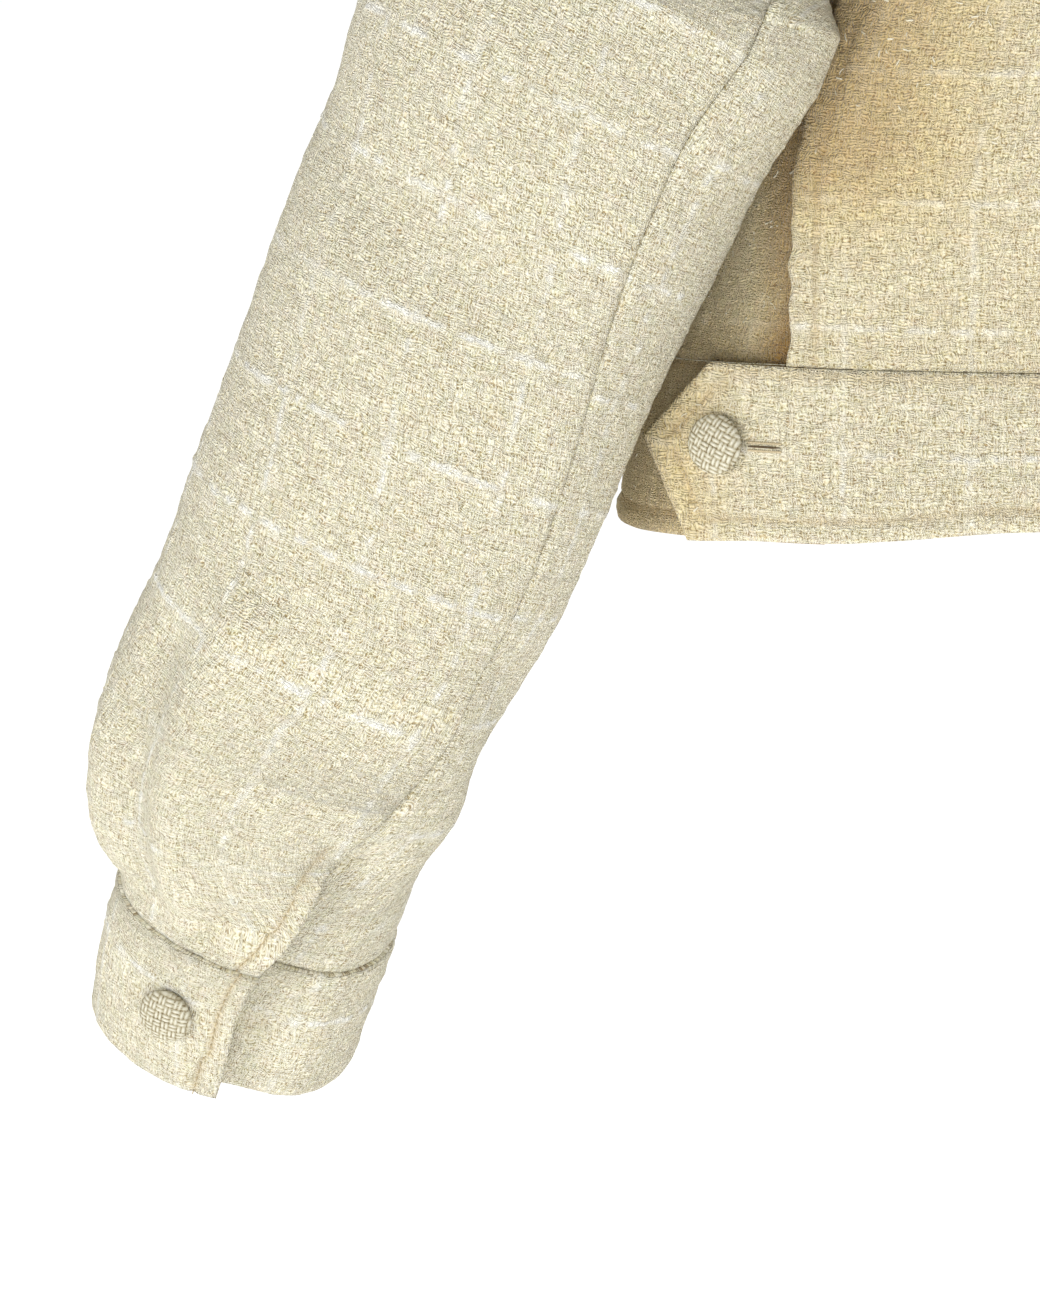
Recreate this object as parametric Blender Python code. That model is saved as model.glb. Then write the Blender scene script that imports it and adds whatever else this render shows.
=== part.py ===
"""Cropped tweed jacket, filled out as if worn, with nobody in it.

Metres, +Z up, back towards -Y, front towards +Y, the wearer's left at -X.  The
origin is the middle of the neck at shoulder height, where a wearer carries it.
Every cloth piece is a sheet on one of two forms, the body or a sleeve,
thickened along that form's normals.  A half is worked out with x >= 0 and
then placed by its side: -1 for the wearer's left, +1 for the right.
"""

from math import cos, pi, radians, sin

import bmesh
import bpy
import numpy as np
from mathutils import Matrix, Vector

# ---- cloth ----------------------------------------------------------------
PANEL_HALF = 0.00125        # half the thickness of a single layer of tweed
BAND_OUTER = 0.00275        # waistbands and cuffs are folded double, so their
BAND_INNER = 0.00125        # faces lie further out and equally far in
SEAM_HALF = 0.00015         # each piece stops this far short of a seam
CUFF_GAP_HALF = 0.00022     # and this far at the steeper seam of the cuff
LEFT, RIGHT = -1, 1

# ---- body form: horizontal sections, from above the neck to the hem --------
# height, half width, depth behind (-Y), depth in front (+Y), squareness
BODY_SECTIONS = (
    (+0.008, 0.055, 0.010, 0.010, 2.30),
    (+0.000, 0.078, 0.020, 0.022, 2.30),
    (-0.012, 0.120, 0.036, 0.040, 2.30),
    (-0.024, 0.162, 0.050, 0.053, 2.30),
    (-0.036, 0.196, 0.062, 0.064, 2.30),
    (-0.055, 0.206, 0.078, 0.078, 2.35),
    (-0.090, 0.198, 0.094, 0.096, 2.40),
    (-0.135, 0.185, 0.106, 0.112, 2.45),
    (-0.225, 0.172, 0.116, 0.124, 2.50),
    (-0.300, 0.198, 0.110, 0.114, 2.50),
    (-0.369, 0.223, 0.101, 0.104, 2.50),
    (-0.445, 0.238, 0.099, 0.102, 2.50),
)
WAIST_SEAM_Z = -0.3717
# the hem dips a little towards the sides: distance from the middle, height
HEM = (
    (0.000, -0.4215),
    (0.099, -0.4243),
    (0.138, -0.4280),
    (0.160, -0.4297),
    (0.181, -0.4300),
    (0.207, -0.4318),
    (0.240, -0.4290),
)

# ---- neck ------------------------------------------------------------------
NECK_HALF_WIDTH = 0.078
NECK_FRONT_Z = -0.085
NECK_BACK_Z = -0.018

# ---- armhole on the body form ----------------------------------------------
# turn round the sleeve (0 shoulder tip, 90 behind, 180 underarm, 270 in front),
# height, angle round the body (0 back centre, 90 side, 180 front centre)
ARMHOLE = (
    (0, -0.037, 90),
    (45, -0.078, 69),
    (90, -0.135, 58),
    (130, -0.190, 55),
    (155, -0.219, 60),
    (180, -0.229, 84),
    (205, -0.220, 107),
    (235, -0.180, 120),
    (270, -0.128, 123),
    (315, -0.075, 113),
    (360, -0.037, 90),
)
TURN_BACK_EDGE = 155        # where the back panel ends at the armhole
TURN_FRONT_CORNER = 212     # where the upper and lower front meet
SLEEVE_OVER_BODY = 0.0031   # the sleeve seam rides on the armhole's edge

# ---- side lap: the back's edge, lying on the front's side part ---------------
# height, distance from the middle
LAP_EDGE = (
    (-0.219, 0.1495),
    (-0.241, 0.155),
    (-0.260, 0.162),
    (-0.293, 0.170),
    (-0.312, 0.1735),
    (-0.372, 0.1735),
    (-0.430, 0.1735),
)
UNDERLAP = 0.018            # how far the front carries on below the back
LAP_LIFT = 0.003            # how far the lap's edge curls up at the waist seam
LAP_SINK_TOP = 0.0038       # how deep the front lies below it at the armpit
LAP_SINK_WAIST = 0.0085     # and at the waist seam

# ---- front closing: the right front over the left ----------------------------
FRONT_OVERLAP = 0.020
FRONT_SINK = 0.0040
FRONT_SINK_BAND = 0.0055

# ---- tabs at both ends of the back waistband ---------------------------------
# distance from the middle at the tab's top corner, point and lower corner
TAB_TOP, TAB_POINT, TAB_LOWER = 0.1965, 0.2165, 0.2035
TAB_POINT_DOWN = 0.44       # height of the point, as a part of the band's
TAB_LIFT = 0.0045

# ---- sleeve form: sections across the sleeve's own centre line --------------
# height of the centre, centre x, centre y, half width, half depth, tilt
SLEEVE_SECTIONS = (
    (-0.246, 0.2290, -0.044, 0.0810, 0.060, 20),
    (-0.278, 0.2465, -0.045, 0.0760, 0.058, 21),
    (-0.306, 0.2590, -0.044, 0.0740, 0.056, 20),
    (-0.343, 0.2745, -0.041, 0.0712, 0.055, 15),
    (-0.387, 0.2915, -0.037, 0.0697, 0.054, 8),
    (-0.427, 0.3085, -0.033, 0.0680, 0.052, 2),
    (-0.467, 0.3262, -0.028, 0.0652, 0.050, 0),
    (-0.506, 0.3445, -0.020, 0.0650, 0.049, 0),
    (-0.535, 0.3520, -0.012, 0.0605, 0.047, 0),
    (-0.556, 0.3540, -0.004, 0.0512, 0.043, 0),
    (-0.572, 0.3575, 0.003, 0.0485, 0.041, 0),
    (-0.599, 0.3660, 0.013, 0.0476, 0.040, 0),
    (-0.625, 0.3725, 0.024, 0.0457, 0.039, 0),
)
SLEEVE_TOP_Z = -0.246
CUFF_SEAM_Z = -0.572
CUFF_END_Z = -0.6225
SLEEVE_SQUARENESS = 2.15
SLEEVE_MEAN_RADIUS = 0.055  # turns a degree round the sleeve into a distance
SLEEVE_CLEAR = 0.0065       # least distance of the sleeve from the body form
SLEEVE_CLEAR_TAB = 0.0120   # and from the tab
SEAM_BACK_TURN = 139        # lengthwise seams of the two-piece sleeve
SEAM_FRONT_TURN = 238

# soft ridges (+) and troughs (-) of the lower sleeve, between two places:
# height and turn of the first, of the second, half width, height of the fold
SLEEVE_FOLDS = (
    (-0.468, 64, -0.545, 62, 0.011, +0.0050),
    (-0.490, 40, -0.545, 45, 0.012, -0.0050),
    (-0.528, 112, -0.556, 75, 0.010, -0.0045),
    (-0.520, 20, -0.548, 12, 0.012, +0.0030),
    (-0.455, 150, -0.500, 200, 0.014, -0.0030),
    (-0.490, 290, -0.540, 275, 0.014, -0.0045),
    (-0.310, 20, -0.340, 95, 0.018, -0.0025),
)

# ---- vent: the flap of the upper sleeve over the under sleeve ----------------
# height, turn of the flap's edge, turn of the under edge, lift, sink
VENT = (
    (-0.200, SEAM_BACK_TURN, SEAM_BACK_TURN, 0.0000, 0.0000),
    (-0.470, SEAM_BACK_TURN, SEAM_BACK_TURN, 0.0000, 0.0000),
    (-0.498, 131, 131, 0.0000, 0.0000),
    (-0.518, 121, 121, 0.0008, 0.0020),
    (-0.530, 115, 112, 0.0022, 0.0052),
    (-0.543, 109, 98, 0.0042, 0.0062),
    (-0.557, 103, 86, 0.0045, 0.0062),
    (-0.572, 97, 78, 0.0040, 0.0062),
    (-0.625, 94, 72, 0.0030, 0.0062),
)

# ---- buttons -----------------------------------------------------------------
BUTTON_RADIUS = 0.0101
BUTTON_HEIGHT = 0.0062
SHANK_RADIUS = 0.0042
SHANK_HEIGHT = 0.0012
BUTTON_SIDES = 12
FRONT_BUTTONS = 4
FRONT_BUTTON_TOP_Z = -0.104
FRONT_BUTTON_STEP = 0.0725
TAB_BUTTON = (0.1935, -0.3985)      # distance from the middle, height
CUFF_BUTTON = (-0.5970, 70)         # height, turn

CREAM = (0.74, 0.68, 0.54, 1.0)
CREAM_SHADE = (0.70, 0.63, 0.48, 1.0)
CREAM_BUTTON = (0.80, 0.77, 0.68, 1.0)


# =============================================================================
# Curves and forms
# =============================================================================
def smooth_curve(keys, values):
    """A function through the given pairs that never overshoots them."""
    order = np.argsort(keys)
    key = np.array(keys, float)[order]
    val = np.array(values, float)[order]
    step = np.diff(key)
    slope = np.diff(val) / step
    tangent = np.zeros(len(key))
    tangent[0], tangent[-1] = slope[0], slope[-1]
    for i in range(1, len(key) - 1):
        if slope[i - 1] * slope[i] > 0:
            left = 2 * step[i] + step[i - 1]
            right = step[i] + 2 * step[i - 1]
            tangent[i] = (left + right) / (left / slope[i - 1] + right / slope[i])

    def value(x):
        x = min(max(float(x), key[0]), key[-1])
        i = min(int(np.searchsorted(key, x, side="right")) - 1, len(step) - 1)
        t = (x - key[i]) / step[i]
        return ((1 + 2 * t) * (1 - t) ** 2 * val[i] + t * (1 - t) ** 2 * step[i] * tangent[i]
                + t * t * (3 - 2 * t) * val[i + 1] + t * t * (t - 1) * step[i] * tangent[i + 1])

    return value


def table_curves(table):
    """One smooth curve for each column after the first."""
    rows = list(zip(*table))
    return [smooth_curve(rows[0], column) for column in rows[1:]]


def ease(value, start, end):
    """0 at start, 1 at end, level at both."""
    t = min(max((value - start) / (end - start), 0.0), 1.0)
    return t * t * (3 - 2 * t)


def unit(vector):
    return vector / np.linalg.norm(vector)


body_half_width, body_behind, body_front, body_power = table_curves(BODY_SECTIONS)
(hem_height,) = table_curves(HEM)
armhole_height, armhole_round = table_curves(ARMHOLE)
(lap_edge,) = table_curves(LAP_EDGE)
sleeve_x, sleeve_y, sleeve_wide, sleeve_deep, sleeve_tilt = table_curves(SLEEVE_SECTIONS)
flap_turn, under_turn, flap_lift, under_sink = table_curves(VENT)


def armhole_z(turn):
    return armhole_height(turn % 360)


def armhole_angle(turn):
    return armhole_round(turn % 360)


def body_level(point):
    """1 on the body form, less inside it and more outside."""
    x, y, z = point
    depth = body_behind(z) if y < 0 else body_front(z)
    power = body_power(z)
    return (abs(x) / body_half_width(z)) ** power + (abs(y) / depth) ** power


def body_slope(point):
    """The gradient of body_level."""
    reach = 2e-5
    steps = np.eye(3) * reach
    return np.array([(body_level(point + s) - body_level(point - s)) / (2 * reach)
                     for s in steps])


def body_normal(point):
    return unit(body_slope(point))


def body_behind_at(x, z):
    """The point of the form behind the wearer, at this x and height."""
    power = body_power(z)
    share = max(1 - (abs(x) / body_half_width(z)) ** power, 0.0) ** (1 / power)
    return np.array([x, -body_behind(z) * share, z])


def body_round(angle, z):
    """The point of the form at this angle round it (0 behind, 90 side)."""
    power = body_power(z)
    across = np.sign(sin(radians(angle))) * abs(sin(radians(angle))) ** (2 / power)
    along = abs(cos(radians(angle))) ** (2 / power)
    y = -body_behind(z) * along if cos(radians(angle)) > 0 else body_front(z) * along
    return np.array([body_half_width(z) * across, y, z])


def angle_behind(x, z):
    """The angle round the form of the point behind, at this x."""
    share = min(abs(x) / body_half_width(z), 1.0)
    return np.sign(x) * np.degrees(np.arcsin(share ** (body_power(z) / 2)))


def angle_in_front(x, z):
    return 180 - angle_behind(x, z)


# =============================================================================
# Sheets: points and normals joined into quads, then thickened
# =============================================================================
class Sheet:
    """A cloth sheet; grids that share points are welded where they meet."""

    def __init__(self):
        self.points, self.normals, self.faces = [], [], []
        self.places = {}

    def place(self, point, normal):
        key = tuple(np.round(point, 6))
        if key not in self.places:
            self.places[key] = len(self.points)
            self.points.append(point)
            self.normals.append(normal)
        return self.places[key]

    def add_grid(self, rows):
        """rows: lists of (point, normal), all of one length."""
        index = [[self.place(*cell) for cell in row] for row in rows]
        for upper, lower in zip(index, index[1:]):
            for j in range(len(upper) - 1):
                ring = (upper[j], upper[j + 1], lower[j + 1], lower[j])
                if len(set(ring)) == 4:
                    self.faces.append(ring)


def thicken(name, sheet, side, outer, inner, colour):
    """Make the closed solid of a sheet, on the given side of the jacket."""
    flip = np.array([side, 1, 1])
    mesh = bmesh.new()
    layers = []
    for distance in (outer, -inner):
        layers.append([mesh.verts.new((p + n * distance) * flip)
                       for p, n in zip(sheet.points, sheet.normals)])
    edges = {}
    for ring in sheet.faces:
        mesh.faces.new([layers[0][i] for i in ring])
        mesh.faces.new([layers[1][i] for i in reversed(ring)])
        for pair in zip(ring, ring[1:] + ring[:1]):
            key = tuple(sorted(pair))
            edges[key] = None if key in edges else pair
    for pair in edges.values():
        if pair is not None:
            a, b = sorted(pair, key=lambda i: (round(sheet.points[i][2], 5), sheet.points[i][1]))
            mesh.faces.new((layers[0][a], layers[0][b], layers[1][b]))
            mesh.faces.new((layers[0][a], layers[1][b], layers[1][a]))
    bmesh.ops.recalc_face_normals(mesh, faces=mesh.faces)
    return finish(name, mesh, colour)


def finish(name, mesh, colour):
    data = bpy.data.meshes.new(name)
    mesh.to_mesh(data)
    mesh.free()
    data.shade_smooth()
    data.set_sharp_from_angle(angle=radians(45))
    material = bpy.data.materials.new(name + "_cloth")
    material.use_nodes = True
    shader = material.node_tree.nodes["Principled BSDF"]
    shader.inputs["Base Color"].default_value = colour
    shader.inputs["Roughness"].default_value = 0.95
    data.materials.append(material)
    thing = bpy.data.objects.new(name, data)
    bpy.context.scene.collection.objects.link(thing)
    return thing


def coons(top, bottom, left, right):
    """Fill four edges, each a list of (x, z); the corners coincide."""
    top, bottom, left, right = (np.array(edge) for edge in (top, bottom, left, right))
    across = np.linalg.norm(np.diff(top, axis=0), axis=1)
    down = np.linalg.norm(np.diff(right, axis=0), axis=1)
    u = np.append(0, np.cumsum(across)) / across.sum()
    v = np.append(0, np.cumsum(down)) / down.sum()
    rows = []
    for i, b in enumerate(v):
        row = []
        for j, a in enumerate(u):
            edges = (1 - b) * top[j] + b * bottom[j] + (1 - a) * left[i] + a * right[i]
            corners = ((1 - a) * (1 - b) * top[0] + a * (1 - b) * top[-1]
                       + (1 - a) * b * bottom[0] + a * b * bottom[-1])
            row.append(edges - corners)
        rows.append(row)
    return rows


def spread(start, end, shares):
    """Points from start to end at the given shares of the way."""
    start, end = np.array(start), np.array(end)
    return [start + (end - start) * share for share in shares]


def shares_of(points):
    """How far along a line of points each one lies, from 0 to 1."""
    steps = np.linalg.norm(np.diff(np.array(points), axis=0), axis=1)
    return np.append(0, np.cumsum(steps)) / steps.sum()


# =============================================================================
# Back and fronts
# =============================================================================
NECK_STEPS, SHOULDER_STEPS = 6, 5
ARMHOLE_TURNS = (0, 7, 18, 34, 54, 76, 98, 119, 138, TURN_BACK_EDGE)
LAP_STEPS = 6
UNDERARM_STEPS = 4
UNDERLAP_STEPS = 2
UNDERLAP_DROP = 0.0030      # the front starts this far below the back's corner
UPPER_FRONT_DIP = 0.020     # its rows dip this far towards the front edge
ARMHOLE_SPARE_TURN = 10     # no armhole point this close to the lower front's corner
LOWER_FRONT_ROWS = 7


def ridge_height(x):
    """The height at which the form is x wide on each side, at the shoulder."""
    low, high = armhole_z(0), 0.0
    for _ in range(40):
        middle = (low + high) / 2
        if body_half_width(middle) > x:
            low = middle
        else:
            high = middle
    return high


def neck_and_shoulder(start_x, neck_z):
    """The top edge of a half: round the neck, then out to the shoulder tip."""
    line = []
    for step in range(NECK_STEPS):
        turn = radians(90 * step / NECK_STEPS)
        line.append((start_x + (NECK_HALF_WIDTH - start_x) * sin(turn), neck_z * cos(turn)))
    tip_x = body_half_width(armhole_z(0))
    for step in range(SHOULDER_STEPS):
        x = NECK_HALF_WIDTH + (tip_x - NECK_HALF_WIDTH) * step / SHOULDER_STEPS
        line.append((x, ridge_height(x)))
    return line + [(tip_x, armhole_z(0))]


def armhole_xz(turn):
    point = body_round(armhole_angle(turn), armhole_z(turn))
    return point[0], point[2]


def back_out(x, z):
    """How far the back stands off the form: its lap curls up towards the hem."""
    near_edge = ease(abs(x), lap_edge(z) - 0.055, lap_edge(z))
    return LAP_LIFT * near_edge * ease(z, -0.27, WAIST_SEAM_Z)


def on_back(x, z):
    point = body_behind_at(x, z)
    normal = body_normal(point)
    point = point + normal * back_out(x, z)
    point[1] = min(point[1], -SEAM_HALF)
    return point, normal


def back_columns():
    """The x of each column along the waist seam, from the middle to the lap."""
    return [lap_edge(WAIST_SEAM_Z) * share
            for share in shares_of(neck_and_shoulder(0.0, NECK_BACK_Z))]


def join_halves(half):
    """Weld a half, worked out at x >= 0, to its mirror image."""
    whole = Sheet()
    for side in (RIGHT, LEFT):
        flip = np.array([side, 1, 1])
        place = [whole.place(p * flip, n * flip) for p, n in zip(half.points, half.normals)]
        for ring in half.faces:
            turned = ring if side == RIGHT else tuple(reversed(ring))
            whole.faces.append(tuple(place[i] for i in turned))
    return whole


def make_back():
    top = neck_and_shoulder(0.0, NECK_BACK_Z)
    right = [armhole_xz(turn) for turn in ARMHOLE_TURNS]
    corner_z = right[-1][1]
    bottom_z = WAIST_SEAM_Z + SEAM_HALF
    for step in range(1, LAP_STEPS + 1):
        z = corner_z + (bottom_z - corner_z) * step / LAP_STEPS
        right.append((lap_edge(z), z))
    bottom = [(x, bottom_z) for x in back_columns()]
    left = spread((0.0, NECK_BACK_Z), (0.0, bottom_z), shares_of(right))
    half = Sheet()
    half.add_grid([[on_back(x, z) for x, z in row] for row in coons(top, bottom, left, right)])
    return thicken("back", join_halves(half), RIGHT, PANEL_HALF, PANEL_HALF, CREAM)


def front_out(angle, z, under):
    """How deep a front lies below the form: where the back laps it, and near
    the middle for the left front, which lies under the right one."""
    lap = LAP_SINK_TOP + (LAP_SINK_WAIST - LAP_SINK_TOP) * ease(z, -0.27, WAIST_SEAM_Z + 0.02)
    out = -lap * ease(z, -0.165, -0.212) * ease(angle, 138, 98)
    if under:
        sink = FRONT_SINK + (FRONT_SINK_BAND - FRONT_SINK) * ease(z, -0.32, WAIST_SEAM_Z)
        out -= sink * ease(body_half_width(z) * sin(radians(angle)), 0.070, 0.030)
    return out


def on_front(angle, z, under):
    point = body_round(angle, z)
    normal = body_normal(point)
    point = point + normal * front_out(angle, z, under)
    if angle > 90 and z > armhole_z(90):
        point[1] = max(point[1], SEAM_HALF)
    return point, normal


def upper_front_rows():
    last = TURN_FRONT_CORNER + ARMHOLE_SPARE_TURN
    turns = [360 - turn for turn in ARMHOLE_TURNS if 360 - turn > last]
    right = [armhole_xz(turn) for turn in turns + [TURN_FRONT_CORNER]]
    top = neck_and_shoulder(-FRONT_OVERLAP, NECK_FRONT_Z)
    corner = right[-1]
    middle = (-FRONT_OVERLAP, corner[1] - UPPER_FRONT_DIP)
    bottom = spread(middle, corner, shares_of(top))
    left = spread((-FRONT_OVERLAP, NECK_FRONT_Z), middle, shares_of(right))
    return coons(top, bottom, left, right)


def lower_front_columns():
    """(angle, height) along the top of the lower front, from the edge below
    the lap, under the arm, to the front edge."""
    z = armhole_z(TURN_BACK_EDGE) - UNDERLAP_DROP
    edge = angle_behind(lap_edge(z) - UNDERLAP, z)
    lap = angle_behind(lap_edge(z), z)
    line = [(edge + (lap - edge) * step / UNDERLAP_STEPS, z) for step in range(UNDERLAP_STEPS)]
    for step in range(UNDERARM_STEPS + 1):
        turn = TURN_BACK_EDGE + (TURN_FRONT_CORNER - TURN_BACK_EDGE) * step / UNDERARM_STEPS
        line.append((armhole_angle(turn), armhole_z(turn) - UNDERLAP_DROP * (step == 0)))
    for x, height in reversed(upper_front_rows()[-1][:-1]):
        line.append((angle_in_front(x, height), height))
    return line


def lower_front_foot():
    """The angle of each column at the waist seam."""
    columns = lower_front_columns()
    first = angle_behind(lap_edge(WAIST_SEAM_Z) - UNDERLAP, WAIST_SEAM_Z)
    last = angle_in_front(-FRONT_OVERLAP, WAIST_SEAM_Z)
    start, end = columns[0][0], columns[-1][0]
    return [first + (last - first) * (angle - start) / (end - start) for angle, _ in columns]


def make_front(side):
    under = side == LEFT
    sheet = Sheet()
    sheet.add_grid([[on_front(angle_in_front(x, z), z, under) for x, z in row]
                    for row in upper_front_rows()])
    bottom_z = WAIST_SEAM_Z + SEAM_HALF
    columns = list(zip(lower_front_columns(), lower_front_foot()))
    rows = []
    for step in range(LOWER_FRONT_ROWS + 1):
        share = step / LOWER_FRONT_ROWS
        rows.append([on_front(angle + (low - angle) * share, z + (bottom_z - z) * share, under)
                     for (angle, z), low in columns])
    sheet.add_grid(rows)
    name = "front_left" if under else "front_right"
    return thicken(name, sheet, side, PANEL_HALF, PANEL_HALF, CREAM_SHADE)


# =============================================================================
# Waistbands
# =============================================================================
BACK_BAND_ROWS = (0.0, 0.22, TAB_POINT_DOWN, 0.72, 1.0)
FRONT_BAND_ROWS = (0.0, 0.33, 0.67, 1.0)
TAB_STEPS = 5
BAND_TOP_Z = WAIST_SEAM_Z - SEAM_HALF


def tab_end(down):
    """Distance of the tab's pointed end from the middle, down the band."""
    if down < TAB_POINT_DOWN:
        return TAB_TOP + (TAB_POINT - TAB_TOP) * down / TAB_POINT_DOWN
    share = (down - TAB_POINT_DOWN) / (1 - TAB_POINT_DOWN)
    return TAB_POINT + (TAB_LOWER - TAB_POINT) * share


def on_band_back(x, z):
    point = body_behind_at(x, z)
    normal = body_normal(point)
    out = back_out(min(x, lap_edge(z)), max(z, WAIST_SEAM_Z))
    out += (TAB_LIFT - LAP_LIFT) * ease(x, lap_edge(z) - 0.01, TAB_POINT)
    return point + normal * out, normal


def make_band_back():
    rows = []
    for down in BACK_BAND_ROWS:
        line = back_columns()
        lap = line[-1]
        line += [lap + (tab_end(down) - lap) * step / TAB_STEPS
                 for step in range(1, TAB_STEPS + 1)]
        rows.append([on_band_back(x, BAND_TOP_Z + (hem_height(x) - BAND_TOP_Z) * down)
                     for x in line])
    half = Sheet()
    half.add_grid(rows)
    return thicken("waistband_back", join_halves(half), RIGHT, BAND_OUTER, BAND_INNER, CREAM)


def make_band_front(side):
    under = side == LEFT
    rows = []
    for down in FRONT_BAND_ROWS:
        row = []
        for angle in lower_front_foot():
            x = abs(body_round(angle, WAIST_SEAM_Z)[0])
            hem = hem_height(x if angle > 90 else max(x, TAB_POINT))
            row.append(on_front(angle, BAND_TOP_Z + (hem - BAND_TOP_Z) * down, under))
        rows.append(row)
    sheet = Sheet()
    sheet.add_grid(rows)
    name = "waistband_front_left" if under else "waistband_front_right"
    return thicken(name, sheet, side, BAND_OUTER, BAND_INNER, CREAM_SHADE)


# =============================================================================
# Sleeves
# =============================================================================
def sleeve_frame(z):
    """Centre of the sleeve at this height, and its along, out and rear ways."""
    reach = 1e-4
    centre = np.array([sleeve_x(z), sleeve_y(z), z])
    low = np.array([sleeve_x(z - reach), sleeve_y(z - reach), z - reach])
    high = np.array([sleeve_x(z + reach), sleeve_y(z + reach), z + reach])
    along = unit(low - high) if z > CUFF_END_Z + reach else unit(centre - high)
    rear = np.array([0.0, -1.0, 0.0])
    rear = unit(rear - along * rear.dot(along))
    out = unit(np.cross(along, rear))
    out = out if out[0] > 0 else -out
    tilt = radians(sleeve_tilt(z))
    return centre, along, out * cos(tilt) - rear * sin(tilt), rear * cos(tilt) + out * sin(tilt)


def fold_height(z, turn):
    """Soft ridges and troughs, by their distance from each fold's line."""
    total = 0.0
    arc = radians(SLEEVE_MEAN_RADIUS)
    for z0, turn0, z1, turn1, width, height in SLEEVE_FOLDS:
        line = np.array([(turn1 - turn0) * arc, z1 - z0])
        away = np.array([((turn - turn0 + 180) % 360 - 180) * arc, z - z0])
        share = min(max(away.dot(line) / line.dot(line), 0.0), 1.0)
        total += height * np.exp(-np.sum((away - line * share) ** 2) / width ** 2)
    return total


def tube_point(z, turn):
    centre, _, out, rear = sleeve_frame(z)
    c, s = cos(radians(turn)), sin(radians(turn))
    power = 2 / SLEEVE_SQUARENESS
    wide = sleeve_wide(z) * np.sign(c) * abs(c) ** power
    deep = sleeve_deep(z) * np.sign(s) * abs(s) ** power
    point = centre + out * wide + rear * deep
    return point + unit(out * c + rear * s) * fold_height(z, turn)


def clear_of_body(point, clearance):
    """Move a point out of the body form, softly, to the given distance."""
    softness = 0.003
    for _ in range(3):
        slope = body_slope(point)
        steep = np.linalg.norm(slope)
        short = clearance - (body_level(point) - 1) / steep
        if short < -6 * softness:
            return point
        push = softness * np.log1p(np.exp(short / softness))
        point = point + slope / steep * push * 0.6
    return point


CAP_TOP_WAY = unit(np.array([0.90, 0.0, -0.30]))
CAP_FOOT_WAY = unit(np.array([0.42, 0.0, -0.90]))
CAP_PULL = (0.125, 0.022)       # strength of the curve at the armhole, top and foot
TUBE_PULL = (0.140, 0.018)      # and where it runs into the sleeve


def cap_point(share, turn):
    """From the armhole (share 0) to the first full section (share 1)."""
    foot = (1 - cos(radians(turn))) / 2
    ring = body_round(armhole_angle(turn), armhole_z(turn))
    ring = ring + body_normal(ring) * SLEEVE_OVER_BODY
    rear = np.array([0.0, -0.30 * sin(radians(turn)), 0.0])
    leave = unit(CAP_TOP_WAY * (1 - foot) + CAP_FOOT_WAY * foot + rear)
    leave = leave * (CAP_PULL[0] * (1 - foot) + CAP_PULL[1] * foot)
    arrive = sleeve_frame(SLEEVE_TOP_Z)[1] * (TUBE_PULL[0] * (1 - foot) + TUBE_PULL[1] * foot)
    t = share
    return ((1 + 2 * t) * (1 - t) ** 2 * ring + t * (1 - t) ** 2 * leave
            + t * t * (3 - 2 * t) * tube_point(SLEEVE_TOP_Z, turn) + t * t * (t - 1) * arrive)


def sleeve_point(way, turn):
    """way 0 to 1 is the cap; past 1 it is 1 + the depth below its end."""
    if way <= 1:
        point = cap_point(way, turn)
        clearance = SLEEVE_OVER_BODY + (SLEEVE_CLEAR - SLEEVE_OVER_BODY) * ease(way, 0.0, 0.5)
        pushed = clear_of_body(point, clearance)
        return point + (pushed - point) * ease(way, 0.0, 0.15)
    z = SLEEVE_TOP_Z - (way - 1)
    point = tube_point(z, turn)
    clearance = SLEEVE_CLEAR + (SLEEVE_CLEAR_TAB - SLEEVE_CLEAR) * ease(z, -0.335, -0.372)
    return clear_of_body(point, clearance)


def sleeve_normal(way, turn):
    reach_way, reach_turn = 2e-3, 0.5
    down = sleeve_point(way + reach_way, turn) - sleeve_point(max(way - reach_way, 0), turn)
    across = sleeve_point(way, turn + reach_turn) - sleeve_point(way, turn - reach_turn)
    return unit(np.cross(across, down))


def on_sleeve(way, turn, out=0.0):
    normal = sleeve_normal(way, turn)
    return sleeve_point(way, turn) + normal * out, normal


def way_of(z):
    return 1 + SLEEVE_TOP_Z - z


CAP_WAYS = (0.0, 0.10, 0.24, 0.40, 0.58, 0.78, 1.0)
TUBE_HEIGHTS = (-0.275, -0.306, -0.338, -0.372, -0.406, -0.440, -0.472, -0.498,
                -0.514, -0.526, -0.539, -0.555, CUFF_SEAM_Z + CUFF_GAP_HALF)
UPPER_STEPS, UNDER_STEPS = 18, 6
SEAM_TURN_GAP = 0.20            # degrees each side of a lengthwise seam


def sleeve_ways():
    return list(CAP_WAYS) + [way_of(z) for z in TUBE_HEIGHTS]


def upper_turns(z):
    """From the front seam, over the outside, to the back seam or flap edge."""
    start, end = SEAM_FRONT_TURN - 360 + SEAM_TURN_GAP, flap_turn(z) - SEAM_TURN_GAP
    return [start + (end - start) * step / UPPER_STEPS for step in range(UPPER_STEPS + 1)]


def under_turns(z):
    """From the back seam, or from below the flap, round to the front seam."""
    start, end = under_turn(z) + SEAM_TURN_GAP, SEAM_FRONT_TURN - SEAM_TURN_GAP
    return [start + (end - start) * step / UNDER_STEPS for step in range(UNDER_STEPS + 1)]


def flap_out(z, turn):
    return flap_lift(z) * ease(turn, flap_turn(z) - 50, flap_turn(z))


def under_out(z, turn):
    return -under_sink(z) * ease(turn, flap_turn(z) + 38, flap_turn(z) + 2)


def height_of(way):
    return SLEEVE_TOP_Z - max(way - 1, 0)


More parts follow.
